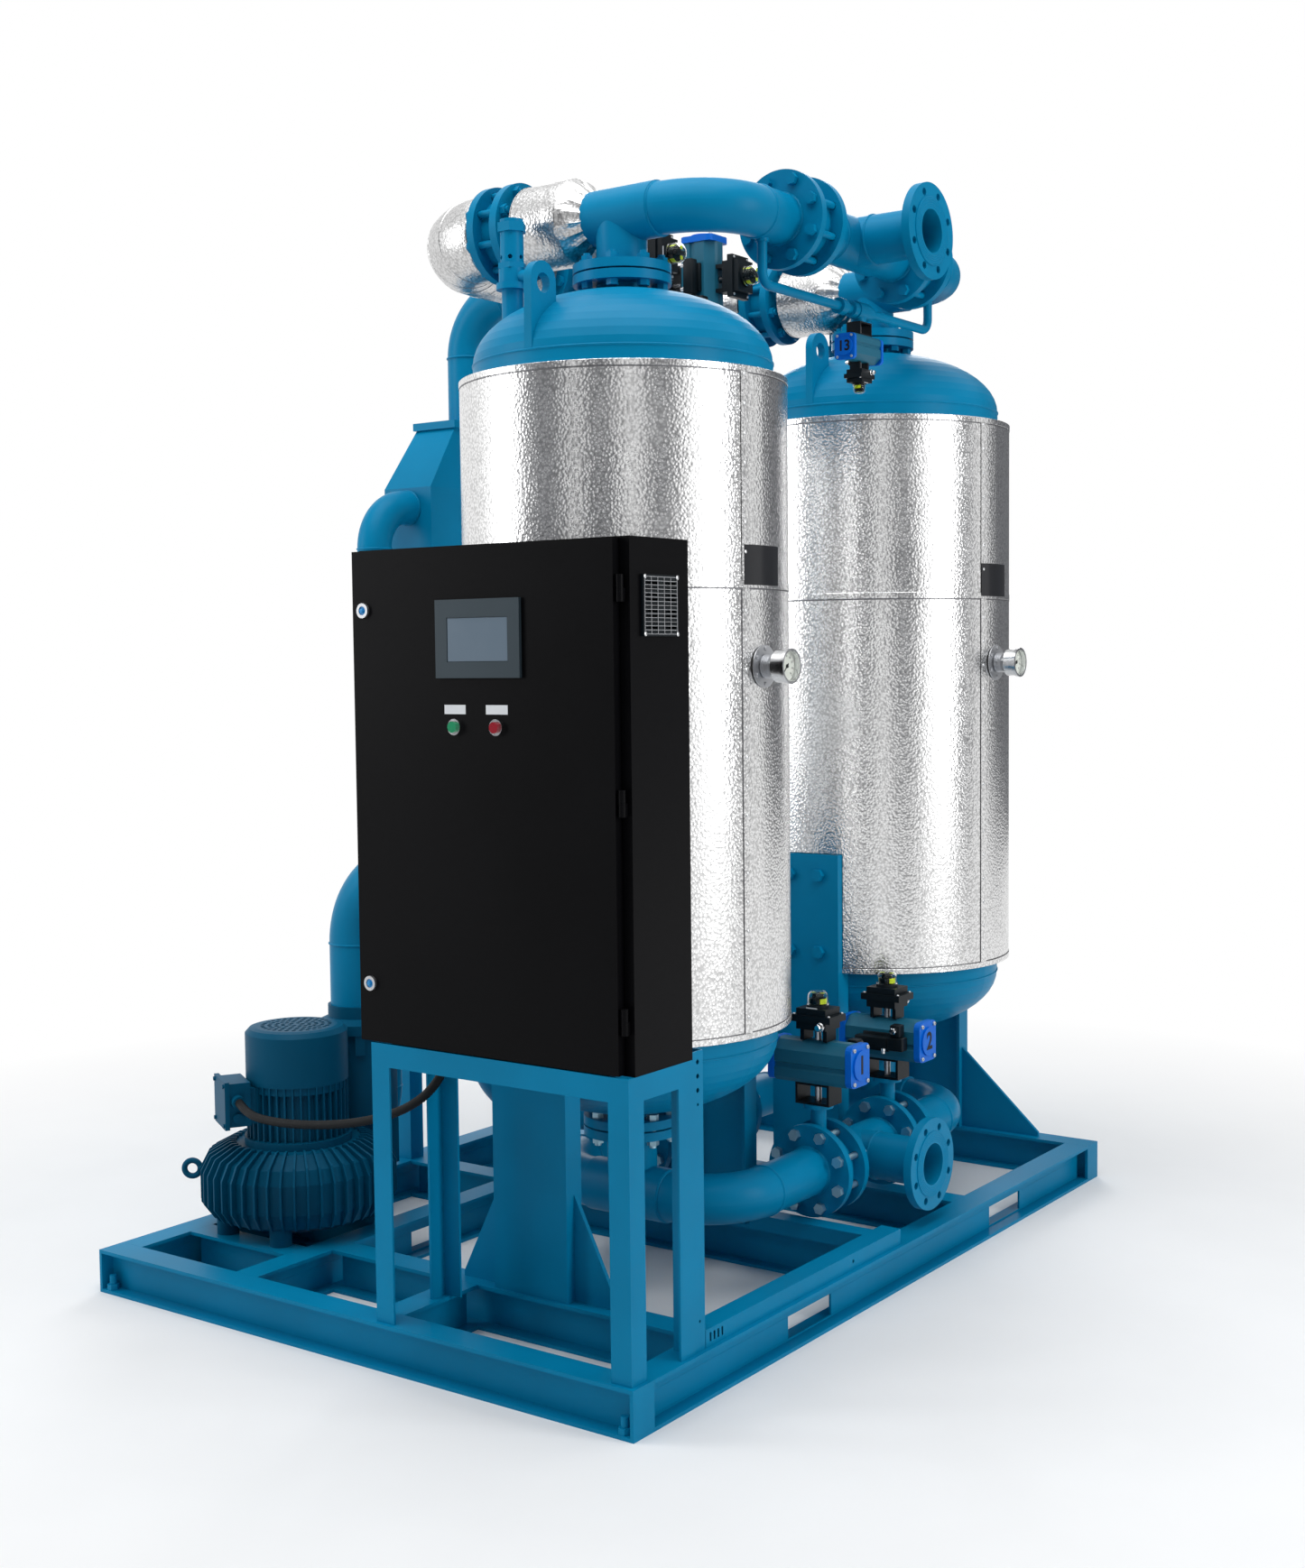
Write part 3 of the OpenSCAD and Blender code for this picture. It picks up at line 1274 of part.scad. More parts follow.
// Filter canister with its lid, clips and the collar of the intake pipe
module filter_canister() {
    z1 = can_z + can_h;
    color([0.12, 0.12, 0.13]) translate([can_x, can_y, 0]) {
        rotate_extrude() polygon([[0, can_z], [canister_r - 8, can_z], [canister_r, can_z + 8],
            [canister_r, z1],
            [canister_r + 12, z1], [canister_r + 12, z1 + 24], [canister_r - 10, z1 + 34],
                [suction_r + 7, z1 + 36],
            [suction_r + 7, z1 + 66], [0, z1 + 66]]);
        for (k = [0 : 3]) rotate([0, 0, 45 + 90 * k])
            box([canister_r - 2, -12, z1 - 50], [canister_r + 8, 12, z1 + 1]);
    }
}

// Intake pipe over the filter, and the riser from the blower to the heater
module intake_form(r, end) {
    z0 = can_z + can_h + 66;
    translate([can_x, can_y, 0]) {
        rod([0, 0, z0 - end], "z", intake_z - z0 + end, r);
        translate([0, 0, intake_z]) rotate([0, -90, -90]) bend(r, intake_bend);
        rod([intake_bend, 0, intake_z + intake_bend], "x", intake_end - can_x - intake_bend + end, r);
    }
}

module riser_form(r, end) {
    translate([heater_x, 0, 0]) {
        rod([0, discharge_y - end, discharge_z], "y", riser_y - riser_bend - discharge_y + end, r);
        translate([0, riser_y - riser_bend, discharge_z]) rotate([90, 0, 90]) bend(r, riser_bend);
        rod([0, riser_y, discharge_z + riser_bend], "z", riser_z - discharge_z - 2 * riser_bend, r);
        translate([0, riser_y, riser_z - riser_bend]) rotate([0, -90, 0]) bend(r, riser_bend);
        rod([0, riser_y + riser_bend, riser_z], "y", heater_y0 - riser_y - riser_bend + end, r);
    }
}

module blower_pipes() {
    color(paint) {
        difference() {
            intake_form(suction_r, 0);
            intake_form(suction_r - 4, 1);
            translate([can_x, can_y, intake_z]) {
                weld_line([0, 0, 0], "z", suction_r);
                weld_line([intake_bend, 0, intake_bend], "x", suction_r);
            }
        }
        difference() {
            riser_form(riser_r, 0);
            riser_form(riser_r - 4, 1);
            translate([heater_x, riser_y, 0]) {
                weld_line([0, -riser_bend, discharge_z], "y", riser_r);
                weld_line([0, 0, discharge_z + riser_bend], "z", riser_r);
                weld_line([0, 0, riser_z - riser_bend], "z", riser_r);
                weld_line([0, riser_bend, riser_z], "y", riser_r);
            }
        }
    }
}

// Heater

// Casing with a hood that tapers on all four sides to a rim; its posts stand on the skid
module heater_casing() {
    w = heater_w / 2;
    y1 = heater_y0 + heater_d;
    post = 50;
    color(paint) {
        difference() {
            union() {
                box([heater_x - w, heater_y0, heater_z], [heater_x + w, y1, shoulder_z]);
                intersection() {
                    translate([heater_x, y1, 0]) rotate([90, 0, 0]) linear_extrude(heater_d)
                        polygon([[-w, shoulder_z - 1], [w, shoulder_z - 1], [w, shoulder_z],
                            [w - 14, hood_z - 20],
                            [w - 8, hood_z - 20], [w - 8, hood_z], [8 - w, hood_z], [8 - w, hood_z - 20],
                                [14 - w, hood_z - 20], [-w, shoulder_z]]);
                    translate([heater_x - w, 0, 0]) rotate([90, 0, 90]) linear_extrude(heater_w)
                        polygon([[heater_y0, shoulder_z - 1], [y1, shoulder_z - 1], [y1, shoulder_z],
                            [y1 - 116, hood_z - 20],
                            [y1 - 108, hood_z - 20], [y1 - 108, hood_z], [heater_y0 + 108, hood_z],
                                [heater_y0 + 108, hood_z - 20],
                            [heater_y0 + 116, hood_z - 20], [heater_y0, shoulder_z]]);
                }
            }
            box([heater_x - w + 4, heater_y0 + 4, heater_z + 4], [heater_x + w - 4, y1 - 4, shoulder_z - 10]);
            rod([heater_x, mid_y, shoulder_z - 20], "z", 300, pipe_ir);
            rod([heater_x, heater_y0 - 1, riser_z], "y", 20, riser_r - 4);
        }
        for (x = [heater_x - w, heater_x + w - post]) for (y = [heater_y0, y1 - post])
            box([x, y, beam_z], [x + post, y + post, heater_z]);
    }
}

// Rod elements standing on a plate inside the casing
module heater_elements() {
    floor_z = heater_z + 4;
    color(steel) {
        box([heater_x - 70, heater_y0 + 30, floor_z],
            [heater_x + 70, heater_y0 + heater_d - 30, floor_z + 10]);
        for (x = [-40, 0, 40]) for (k = [0 : 6])
            rod([heater_x + x, heater_y0 + 75 + 60 * k, floor_z + 9], "z", 480, 8);
    }
}

// Conduit from the motor's terminal box to the cabinet

// Rings of a round hose along points p, n sides, radius r
function unit(v) = v / norm(v);
function along(p, i) = unit(p[min(i + 1, len(p) - 1)] - p[max(i - 1, 0)]);
function ring(p, i, r, n) = let (t = along(p, i),
    u = unit(cross(t, abs(t[2]) > 0.9 ? [0, 1, 0] : [0, 0, 1])), w = cross(t, u))
    [for (k = [0 : n - 1]) p[i] + r * (cos(360 * k / n) * u + sin(360 * k / n) * w)];

module motor_conduit() {
    n = 10;
    m = len(conduit_points);
    color([0.08, 0.08, 0.08]) polyhedron(
        points = [for (i = [0 : m - 1]) each ring(conduit_points, i, conduit_r, n)],
        faces = concat(
            [[for (k = [0 : n - 1]) k]],
            [for (i = [0 : m - 2]) for (k = [0 : n - 1]) [i * n + k, (i + 1) * n + k,
                (i + 1) * n + (k + 1) % n, i * n + (k + 1) % n]],
            [[for (k = [n - 1 : -1 : 0]) (m - 1) * n + k]]));
}

// Nodes

skid_outer_beams();
skid_inner_beams();
frame_bolts();
cabinet_stand();
cable_ducts();
tower_1_vessel();
tower_2_vessel();
desiccant_beds();
bed_screens();
insulation();
tower_1_jacket();
tower_2_jacket();
tower_legs();
safety_valves();
pressure_gauges();
gauge_1_needle();
gauge_2_needle();
cabinet_body();
cabinet_door();
door_hinges();
lock_upper();
lock_lower();
touch_panel();
start_button();
stop_button();
button_bezels();
vent_grille();
control_panel();
blower_housing();
blower_rotor();
motor_frame();
motor_cowl();
terminal_box();
motor_conduit();
filter_canister();
blower_pipes();
heater_casing();
heater_elements();
lower_spool_1();
lower_spool_2();
inlet_tee();
exhaust_tee();
upper_spool_1();
upper_spool_2();
outlet_tee();
hot_header();
pressurising_line();
hot_cladding();
wafer_valves();
valve_actuators();
actuator_caps();
switch_boxes();
flange_bolts();
inlet_disc_1();
inlet_disc_2();
exhaust_disc_1();
exhaust_disc_2();
hot_disc_1();
hot_disc_2();
fill_stem();
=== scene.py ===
# %% [markdown]
# Twin-tower air dryer, dressed for a product picture.
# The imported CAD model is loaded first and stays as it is: every frame, pipe and valve keeps its place.
# Blender adds what solids leave out: paint, embossed sheet, weld beads, dial faces, glass and labels.

# %% Load the frame
import json
import math

import bmesh
import bpy
from mathutils import Matrix, Vector

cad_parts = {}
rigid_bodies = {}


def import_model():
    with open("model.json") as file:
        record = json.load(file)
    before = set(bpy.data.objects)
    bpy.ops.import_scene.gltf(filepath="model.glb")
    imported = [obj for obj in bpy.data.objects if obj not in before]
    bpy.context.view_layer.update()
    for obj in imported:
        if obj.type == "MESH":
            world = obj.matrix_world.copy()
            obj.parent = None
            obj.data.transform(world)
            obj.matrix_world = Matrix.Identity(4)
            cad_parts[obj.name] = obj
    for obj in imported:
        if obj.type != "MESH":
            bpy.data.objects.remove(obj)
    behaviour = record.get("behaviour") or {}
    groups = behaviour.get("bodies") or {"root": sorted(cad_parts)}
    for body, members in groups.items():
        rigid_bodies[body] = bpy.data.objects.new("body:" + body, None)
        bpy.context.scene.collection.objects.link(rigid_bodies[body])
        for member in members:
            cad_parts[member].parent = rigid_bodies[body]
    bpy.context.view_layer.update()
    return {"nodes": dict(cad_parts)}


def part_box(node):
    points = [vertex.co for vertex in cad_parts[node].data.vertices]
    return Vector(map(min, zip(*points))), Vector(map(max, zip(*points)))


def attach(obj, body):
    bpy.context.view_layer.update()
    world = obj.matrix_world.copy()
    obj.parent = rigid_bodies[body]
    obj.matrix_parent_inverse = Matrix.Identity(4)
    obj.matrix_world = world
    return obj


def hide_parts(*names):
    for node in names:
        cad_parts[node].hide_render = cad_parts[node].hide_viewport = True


for spare in list(bpy.data.objects):
    bpy.data.objects.remove(spare)
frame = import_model()
nodes = frame["nodes"]
scene = bpy.context.scene
scene.view_settings.view_transform = "Standard"

# %% [markdown]
# The camera stands where the photographer stood: to the front right, a little over half the machine's height.
# Its place and turn were worked out from the skid's corners, so the script writes them as plain numbers.
# The focal length and the picture's height are in pixels, so only their ratio counts.
# The roll is small but real, and without it the skid's lines would not lie on the picture's.

# %% Camera
picture_height = 1738
focal_length = 2106.85
sensor_height = 36.0
stands_at = (2.8199, -3.8770, 1.4555)
yaw = math.radians(35.631)
pitch = math.radians(3.724)
roll = math.radians(-0.62)
forward = Vector((-math.sin(yaw) * math.cos(pitch), math.cos(yaw) * math.cos(pitch), -math.sin(pitch)))
level = Vector((math.cos(yaw), math.sin(yaw), 0))
upright = level.cross(forward)
right = level * math.cos(roll) + upright * math.sin(roll)
up = upright * math.cos(roll) - level * math.sin(roll)
camera_data = bpy.data.cameras.new("camera")
camera_data.sensor_fit = "VERTICAL"
camera_data.sensor_height = sensor_height
camera_data.lens = focal_length / picture_height * sensor_height
camera_data.clip_end = 100
camera = bpy.data.objects.new("camera", camera_data)
scene.collection.objects.link(camera)
turn = Matrix((right, up, -forward)).transposed().to_4x4()
camera.matrix_world = Matrix.Translation(stands_at) @ turn
scene.camera = camera
print("lens", round(camera_data.lens, 2))

# %% [markdown]
# A finish is a small network of nodes. These helpers make one, add a node or a pattern, and join its output
# to the shader, so that each finish below reads as a short list of what is done to colour, gloss and bumps.

# %% Finish helpers
finishes = {}


def finish(name, colour, metal=0.0, rough=0.5, coat=0.0, shine=0.5):
    made = bpy.data.materials.new(name)
    made.use_nodes = True
    shader = made.node_tree.nodes["Principled BSDF"]
    shader.inputs["Base Color"].default_value = (*colour, 1)
    shader.inputs["Metallic"].default_value = metal
    shader.inputs["Roughness"].default_value = rough
    shader.inputs["Specular IOR Level"].default_value = shine
    shader.inputs["Coat Weight"].default_value = coat
    shader.inputs["Coat Roughness"].default_value = 0.12
    finishes[name] = made
    return made.node_tree, shader


def add(tree, kind, **values):
    node = tree.nodes.new(kind)
    for key, value in values.items():
        if key in node.inputs:
            node.inputs[key].default_value = value
        else:
            setattr(node, key, value)
    return node


def on_object(tree, pattern):
    place = add(tree, "ShaderNodeTexCoord")
    tree.links.new(place.outputs["Object"], pattern.inputs["Vector"])
    return pattern


def noise(tree, scale, detail=3.0, rough=0.5):
    return on_object(tree, add(tree, "ShaderNodeTexNoise", Scale=scale, Detail=detail, Roughness=rough))


def cells(tree, **values):
    return on_object(tree, add(tree, "ShaderNodeTexVoronoi", **values))


def vary_colour(tree, shader, source, dark, light):
    ramp = add(tree, "ShaderNodeValToRGB")
    ramp.color_ramp.elements[0].position = 0.3
    ramp.color_ramp.elements[1].position = 0.7
    ramp.color_ramp.elements[0].color = (*dark, 1)
    ramp.color_ramp.elements[1].color = (*light, 1)
    tree.links.new(source, ramp.inputs["Fac"])
    tree.links.new(ramp.outputs["Color"], shader.inputs["Base Color"])


def vary_gloss(tree, shader, source, low, high):
    spread = add(tree, "ShaderNodeMapRange")
    spread.inputs["To Min"].default_value = low
    spread.inputs["To Max"].default_value = high
    tree.links.new(source, spread.inputs["Value"])
    tree.links.new(spread.outputs["Result"], shader.inputs["Roughness"])


def bump(tree, shader, source, depth, strength):
    relief = add(tree, "ShaderNodeBump", Strength=strength, Distance=depth)
    tree.links.new(source, relief.inputs["Height"])
    tree.links.new(relief.outputs["Normal"], shader.inputs["Normal"])


def linear(r, g, b):
    return tuple(((c / 255 + 0.055) / 1.055) ** 2.4 if c > 10 else c / 255 / 12.92 for c in (r, g, b))


print("helpers ready")

# %% [markdown]
# Most of the dryer is sprayed with one blue enamel. Sprayed paint has a faint orange-peel skin and is never
# quite even, so a fine noise gives bumps and a broad one shifts the colour and the gloss a little.

# %% Paints


def enamel(name, colour, rough=0.36, coat=0.0, peel=420, spread=0.1, shine=0.22):
    tree, shader = finish(name, colour, rough=rough, coat=coat, shine=shine)
    broad = noise(tree, 3.2, 4)
    fine = noise(tree, peel, 2)
    vary_colour(tree, shader, broad.outputs["Fac"],
                tuple(c * (1 - spread) for c in colour), tuple(min(1, c * (1 + spread)) for c in colour))
    vary_gloss(tree, shader, broad.outputs["Fac"], rough - 0.06, rough + 0.08)
    bump(tree, shader, fine.outputs["Fac"], 0.0004, 0.25)


enamel("blue_enamel", linear(1, 122, 164), shine=0.08)
# painted shade: the skid's blue, darkened, for the blower, its motor and the filter
enamel("shaded_blue_enamel", linear(1, 78, 108), rough=0.46, peel=260, shine=0.08)
enamel("box_black", linear(6, 6, 8), rough=0.4, peel=900, spread=0.2, shine=0.06)
enamel("plastic_black", linear(9, 18, 23), rough=0.42, peel=700, spread=0.15, shine=0.2)
enamel("cap_blue", linear(4, 104, 208), rough=0.4, peel=500, shine=0.14)
enamel("drive_grey", linear(30, 100, 124), rough=0.4, peel=600, shine=0.25)
enamel("label_white", linear(226, 228, 230), rough=0.5, peel=300, spread=0.03)
enamel("device_grey", linear(188, 190, 188), rough=0.5, peel=300, spread=0.05)
enamel("panel_slate", linear(52, 64, 71), rough=0.42, peel=700, spread=0.08)
enamel("start_green", linear(12, 140, 92), rough=0.25, coat=0.5, peel=300)
enamel("stop_red", linear(150, 10, 32), rough=0.25, coat=0.5, peel=300)
print("paints", len(finishes))

# %% [markdown]
# The jackets are stucco-embossed aluminium: a bright sheet rolled with small random pebbles.
# Smooth Voronoi cells a few millimetres across give the pebbles, and the colour darkens along the net between
# them as painted shade; a broad noise shifts the gloss, as handling does on thin sheet.

# %% Bright metals


def stucco(name, cell, depth, tone=0.86, rough=0.24):
    tree, shader = finish(name, (tone, tone, tone * 1.01), metal=1.0, rough=rough)
    pebble = cells(tree, feature="SMOOTH_F1", Scale=1 / cell, Smoothness=0.6)
    handling = noise(tree, 5.0, 1.0)
    bump(tree, shader, pebble.outputs["Distance"], depth, 0.55)
    vary_gloss(tree, shader, handling.outputs["Fac"], rough - 0.06, rough + 0.08)
    # painted shade: the colour darkens along the net between the pebbles
    vary_colour(tree, shader, pebble.outputs["Distance"], (tone, tone, tone), (tone * 0.66,) * 3)


def bare_metal(name, colour, rough, grain):
    tree, shader = finish(name, colour, metal=1.0, rough=rough)
    fine = noise(tree, grain, 4)
    vary_gloss(tree, shader, fine.outputs["Fac"], rough - 0.08, rough + 0.1)
    bump(tree, shader, fine.outputs["Fac"], 0.0003, 0.2)


stucco("jacket_stucco", 0.006, 0.0012)
stucco("foil_stucco", 0.006, 0.0012, tone=0.66, rough=0.28)
bare_metal("zinc_steel", (0.6, 0.61, 0.62), 0.34, 160)
bare_metal("polished_steel", (0.74, 0.75, 0.76), 0.16, 90)
bare_metal("worked_steel", (0.5, 0.51, 0.53), 0.4, 240)
bare_metal("seam_shade", (0.16, 0.16, 0.17), 0.5, 200)
bare_metal("plated_blue", (0.4, 0.6, 0.68), 0.4, 200)
print("metals", [n for n in finishes if "steel" in n or "stucco" in n])

# %% [markdown]
# Loose fills and soft coverings: desiccant beads, mineral wool, rubber. They are hidden or small,
# but anyone who cuts the model open should still find the right stuff inside.

# %% Other finishes
tree, shader = finish("desiccant_beads", (0.85, 0.82, 0.74), rough=0.8)
beads = cells(tree, Scale=220.0)
bump(tree, shader, beads.outputs["Distance"], 0.003, 0.9)
# painted shade: the colour darkens between the beads
vary_colour(tree, shader, beads.outputs["Distance"], (0.9, 0.87, 0.8), (0.55, 0.52, 0.46))

tree, shader = finish("mineral_wool", (0.6, 0.52, 0.3), rough=0.95)
fibre = noise(tree, 120, 6, 0.7)
bump(tree, shader, fibre.outputs["Fac"], 0.006, 0.8)
vary_colour(tree, shader, fibre.outputs["Fac"], (0.4, 0.34, 0.18), (0.72, 0.64, 0.4))

tree, shader = finish("hose_black", (0.008, 0.009, 0.01), rough=0.55, shine=0.12)
grime = noise(tree, 40, 3)
vary_gloss(tree, shader, grime.outputs["Fac"], 0.48, 0.66)
print("finishes", len(finishes))

# %% [markdown]
# Every CAD node takes one of these finishes. The blower, its motor and the filter wear the same blue as the
# skid; their finish is a darker copy of that blue, which is painted shade, and is a little rougher.

# %% Finish of each node
worn = {
    "shaded_blue_enamel": ["blower_housing", "motor_frame", "motor_cowl", "terminal_box", "filter_canister"],
    "box_black": ["cabinet_body", "cabinet_door", "door_hinges"],
    "plastic_black": ["vent_grille", "switch_boxes"],
    "panel_slate": ["touch_panel"],
    "cap_blue": ["actuator_caps"],
    "drive_grey": ["valve_actuators"],
    "jacket_stucco": ["tower_1_jacket", "tower_2_jacket"],
    "foil_stucco": ["hot_cladding"],
    "polished_steel": ["pressure_gauges"],
    "worked_steel": ["lock_upper", "lock_lower", "blower_rotor", "heater_elements", "bed_screens",
                     "inlet_disc_1", "inlet_disc_2", "exhaust_disc_1", "exhaust_disc_2", "hot_disc_1",
                     "hot_disc_2", "fill_stem"],
    "desiccant_beads": ["desiccant_beds"],
    "mineral_wool": ["insulation"],
    "hose_black": ["motor_conduit", "gauge_1_needle", "gauge_2_needle"],
    "label_white": ["button_bezels"],
    "device_grey": ["control_panel"],
    "start_green": ["start_button"],
    "stop_red": ["stop_button"],
}
finish_of = {node: name for name, members in worn.items() for node in members}
for name, thing in nodes.items():
    thing.data.materials.clear()
    thing.data.materials.append(finishes[finish_of.get(name, "blue_enamel")])
print("blue nodes", sum(n not in finish_of for n in nodes))

# %% [markdown]
# Each new piece is a mesh whose place is in its own points, as the CAD nodes are. One helper turns a bmesh
# into an object with a finish. A second one cleans a piece's mesh first, shades it, and lets it ride on the
# body that carries it.

# %% Piece helper


def mesh_object(name, shape, wears):
    data = bpy.data.meshes.new(name)
    shape.to_mesh(data)
    shape.free()
    data.materials.append(finishes[wears])
    thing = bpy.data.objects.new(name, data)
    scene.collection.objects.link(thing)
    return thing


def piece(name, shape, wears, body="base", smooth=35):
    bmesh.ops.remove_doubles(shape, verts=shape.verts, dist=1e-6)
    bmesh.ops.recalc_face_normals(shape, faces=shape.faces)
    thing = mesh_object(name, shape, wears)
    if smooth:
        thing.data.shade_smooth()
        thing.data.set_sharp_from_angle(angle=math.radians(smooth))
    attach(thing, body)
    return thing


print("piece helper ready")

# %% [markdown]
# The motor's cable runs in a ribbed conduit from the terminal box to a gland under the cabinet.
# It is a real hose of known length, so it follows the same route points as the solid, on one smooth curve.
# The ribs are real rings: the tube is walked in short steps and every second ring is a little smaller.

# %% Motor conduit
route_mm = [(-540.76, -866.23, 428), (-519.8, -878.3, 427), (-496, -891.5, 425), (-468, -904.5, 423),
            (-432, -918, 421.5), (-385, -928, 422), (-330, -936, 425), (-265, -942, 431), (-195, -946, 440),
            (-125, -949, 452), (-55, -951, 468), (10, -952, 488), (70, -952, 513), (120, -952, 543),
            (158, -952, 578), (182, -952, 614), (193, -952, 645), (194, -952, 666.2)]
route = [Vector(point) / 1000 for point in route_mm]
ring_gap = 0.0045
rib_r = 0.0102
groove_r = 0.0089


def smooth_route(points, steps):
    line = []
    for i in range(len(points) - 1):
        a = points[max(i - 1, 0)]
        b = points[i]
        c = points[i + 1]
        d = points[min(i + 2, len(points) - 1)]
        for k in range(steps):
            t = k / steps
            line.append(0.5 * ((2 * b) + (c - a) * t + (2 * a - 5 * b + 4 * c - d) * t * t
                               + (3 * b - a - 3 * c + d) * t ** 3))
    line.append(points[-1].copy())
    return line


def even_steps(line, gap):
    far = [0.0]
    for a, b in zip(line, line[1:]):
        far.append(far[-1] + (b - a).length)
    count = max(2, round(far[-1] / gap))
    spots = []
    k = 0
    for i in range(count + 1):
        goal = far[-1] * i / count
        while k < len(far) - 2 and far[k + 1] < goal:
            k += 1
        t = (goal - far[k]) / max(far[k + 1] - far[k], 1e-9)
        spots.append(line[k].lerp(line[k + 1], min(1, t)))
    return spots, far[-1]


def sweep(shape, spots, radius, sides=12):
    rings = []
    side = None
    for i, spot in enumerate(spots):
        ahead = (spots[min(i + 1, len(spots) - 1)] - spots[max(i - 1, 0)]).normalized()
        if side is None:
            side = ahead.orthogonal().normalized()
        side = (side - ahead * side.dot(ahead)).normalized()
        over = ahead.cross(side)
        wide = radius(i)
        ring = []
        for k in range(sides):
            a = math.tau * k / sides
            ring.append(shape.verts.new(spot + wide * (math.cos(a) * side + math.sin(a) * over)))
        rings.append(ring)
    edges = []
    for ring in rings:
        edges.append([shape.edges.new((ring[k], ring[(k + 1) % sides])) for k in range(sides)])
    for low, high in zip(edges, edges[1:]):
        bmesh.ops.bridge_loops(shape, edges=low + high)
    shape.faces.new(rings[0])
    shape.faces.new(rings[-1])


spots, conduit_length = even_steps(smooth_route(route, 8), ring_gap)
shape = bmesh.new()
sweep(shape, spots, lambda i: rib_r if i % 2 == 0 else groove_r)
conduit = piece("ribbed_conduit", shape, "hose_black", smooth=80)
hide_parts("motor_conduit")
print("conduit", round(conduit_length, 3), "m")

# %% [markdown]
# Turned and folded parts come up again and again, so three helpers make them from bmesh operators:
# a lathe that spins an outline, a block with soft edges, and a ring. Each gives a small bmesh that is then
# put in its place and joined to the piece it belongs to.

# %% Shape helpers


def lathe(outline, steps=32, angle=math.tau):
    part = bmesh.new()
    line = [part.verts.new((r, 0, h)) for r, h in outline]
    edges = [part.edges.new(pair) for pair in zip(line, line[1:])]
    bmesh.ops.spin(part, geom=line + edges, cent=(0, 0, 0), axis=(0, 0, 1), angle=angle, steps=steps,
                   use_merge=angle >= math.tau, use_duplicate=False)
    bmesh.ops.remove_doubles(part, verts=part.verts, dist=1e-6)
    return part


def soft_block(size, edge, segments=2):
    part = bmesh.new()
    bmesh.ops.create_cube(part, size=1)
    bmesh.ops.scale(part, vec=size, verts=part.verts)
    bmesh.ops.bevel(part, geom=part.edges[:], offset=edge, affect="EDGES", segments=segments, profile=0.5,
                    material=-1)
    return part


def ring_bead(radius, thick, steps=48, sides=6):
    part = bmesh.new()
    made = bmesh.ops.create_circle(part, segments=sides, radius=thick)
    bmesh.ops.rotate(part, verts=made["verts"], cent=(0, 0, 0), matrix=Matrix.Rotation(math.pi / 2, 3, "X"))
    bmesh.ops.translate(part, verts=made["verts"], vec=(radius, 0, 0))
    bmesh.ops.spin(part, geom=part.verts[:] + part.edges[:], cent=(0, 0, 0), axis=(0, 0, 1), angle=math.tau,
                   steps=steps, use_merge=True, use_duplicate=False)
    bmesh.ops.remove_doubles(part, verts=part.verts, dist=1e-6)
    return part


def join(target, part, place=None):
    bmesh.ops.recalc_face_normals(part, faces=part.faces)
    if place is not None:
        part.transform(place)
        if place.determinant() < 0:
            bmesh.ops.reverse_faces(part, faces=part.faces)
    data = bpy.data.meshes.new("part")
    part.to_mesh(data)
    part.free()
    target.from_mesh(data)
    bpy.data.meshes.remove(data)


def towards(axis, place):
    turn = Vector((0, 0, 1)).rotation_difference(Vector(axis)).to_matrix().to_4x4()
    return Matrix.Translation(place) @ turn


along_x = Vector((1, 0, 0))
along_y = Vector((0, 1, 0))
along_z = Vector((0, 0, 1))
print("shape helpers ready")

# %% [markdown]
# Seven drives turn the valves, and all have one shape. Each could be dressed by itself, but a matrix for each
# lets one loop dress them all: it carries a point from the drive's own axes to its place on the machine.
# Four stand upright on the lower pipes' valves, two lie on the hot valves at the top, and a smaller one hangs
# from the ball valve. The places are the solids' own, in metres.

# %% Drive frames
low_z = 0.245
high_z = 2.442
header_x = 0.5315
exhaust_x = 0.0165
hot_x = -0.2605
valve_y = (-0.02, 0.32)
drive_up = 0.155
ball_drive_up = 0.045
small = 0.62
lying = Matrix.Rotation(math.pi / 2, 4, "Y")
hanging = Matrix.Rotation(math.pi / 2, 4, "Z") @ Matrix.Rotation(math.pi, 4, "X") @ Matrix.Scale(small, 4)
stems = ["inlet_stem_1", "inlet_stem_2", "exhaust_stem_1", "exhaust_stem_2", "hot_stem_1", "hot_stem_2",
         "filling_stem"]
valve_frames = []
for x in (header_x, exhaust_x):
    for y in valve_y:
        valve_frames.append(Matrix.Translation((x, y, low_z + drive_up)))
for y in valve_y:
    valve_frames.append(Matrix.Translation((hot_x, y, high_z)) @ lying @ Matrix.Translation((0, 0, drive_up)))
ball_at = Matrix.Translation((header_x, 0.19, 2.288))
valve_frames.append(ball_at @ hanging @ Matrix.Translation((0, 0, ball_drive_up)))
inverse_frames = [drive.inverted() for drive in valve_frames]
print("drives", len(valve_frames))

# %% [markdown]
# Some CAD nodes hold two finishes, such as an actuator and its black bracket. The mesh could be split in two,
# but a CAD node stays as it is, so only the finish of a face is chosen, by where the face lies.

# %% Two finishes on one node


def finish_where(name, test, wears):
    data = nodes[name].data
    data.materials.append(finishes[wears])
    last = len(data.materials) - 1
    count = 0
    for face in data.polygons:
        if test(face.center):
            face.material_index = last
            count += 1
    print(name, wears, count, "faces")


def near_drive(point, low, high, half_x, half_y):
    for back in inverse_frames:
        local = back @ point
        if low < local.z < high and abs(local.x) < half_x and abs(local.y) < half_y:
            return True
    return False


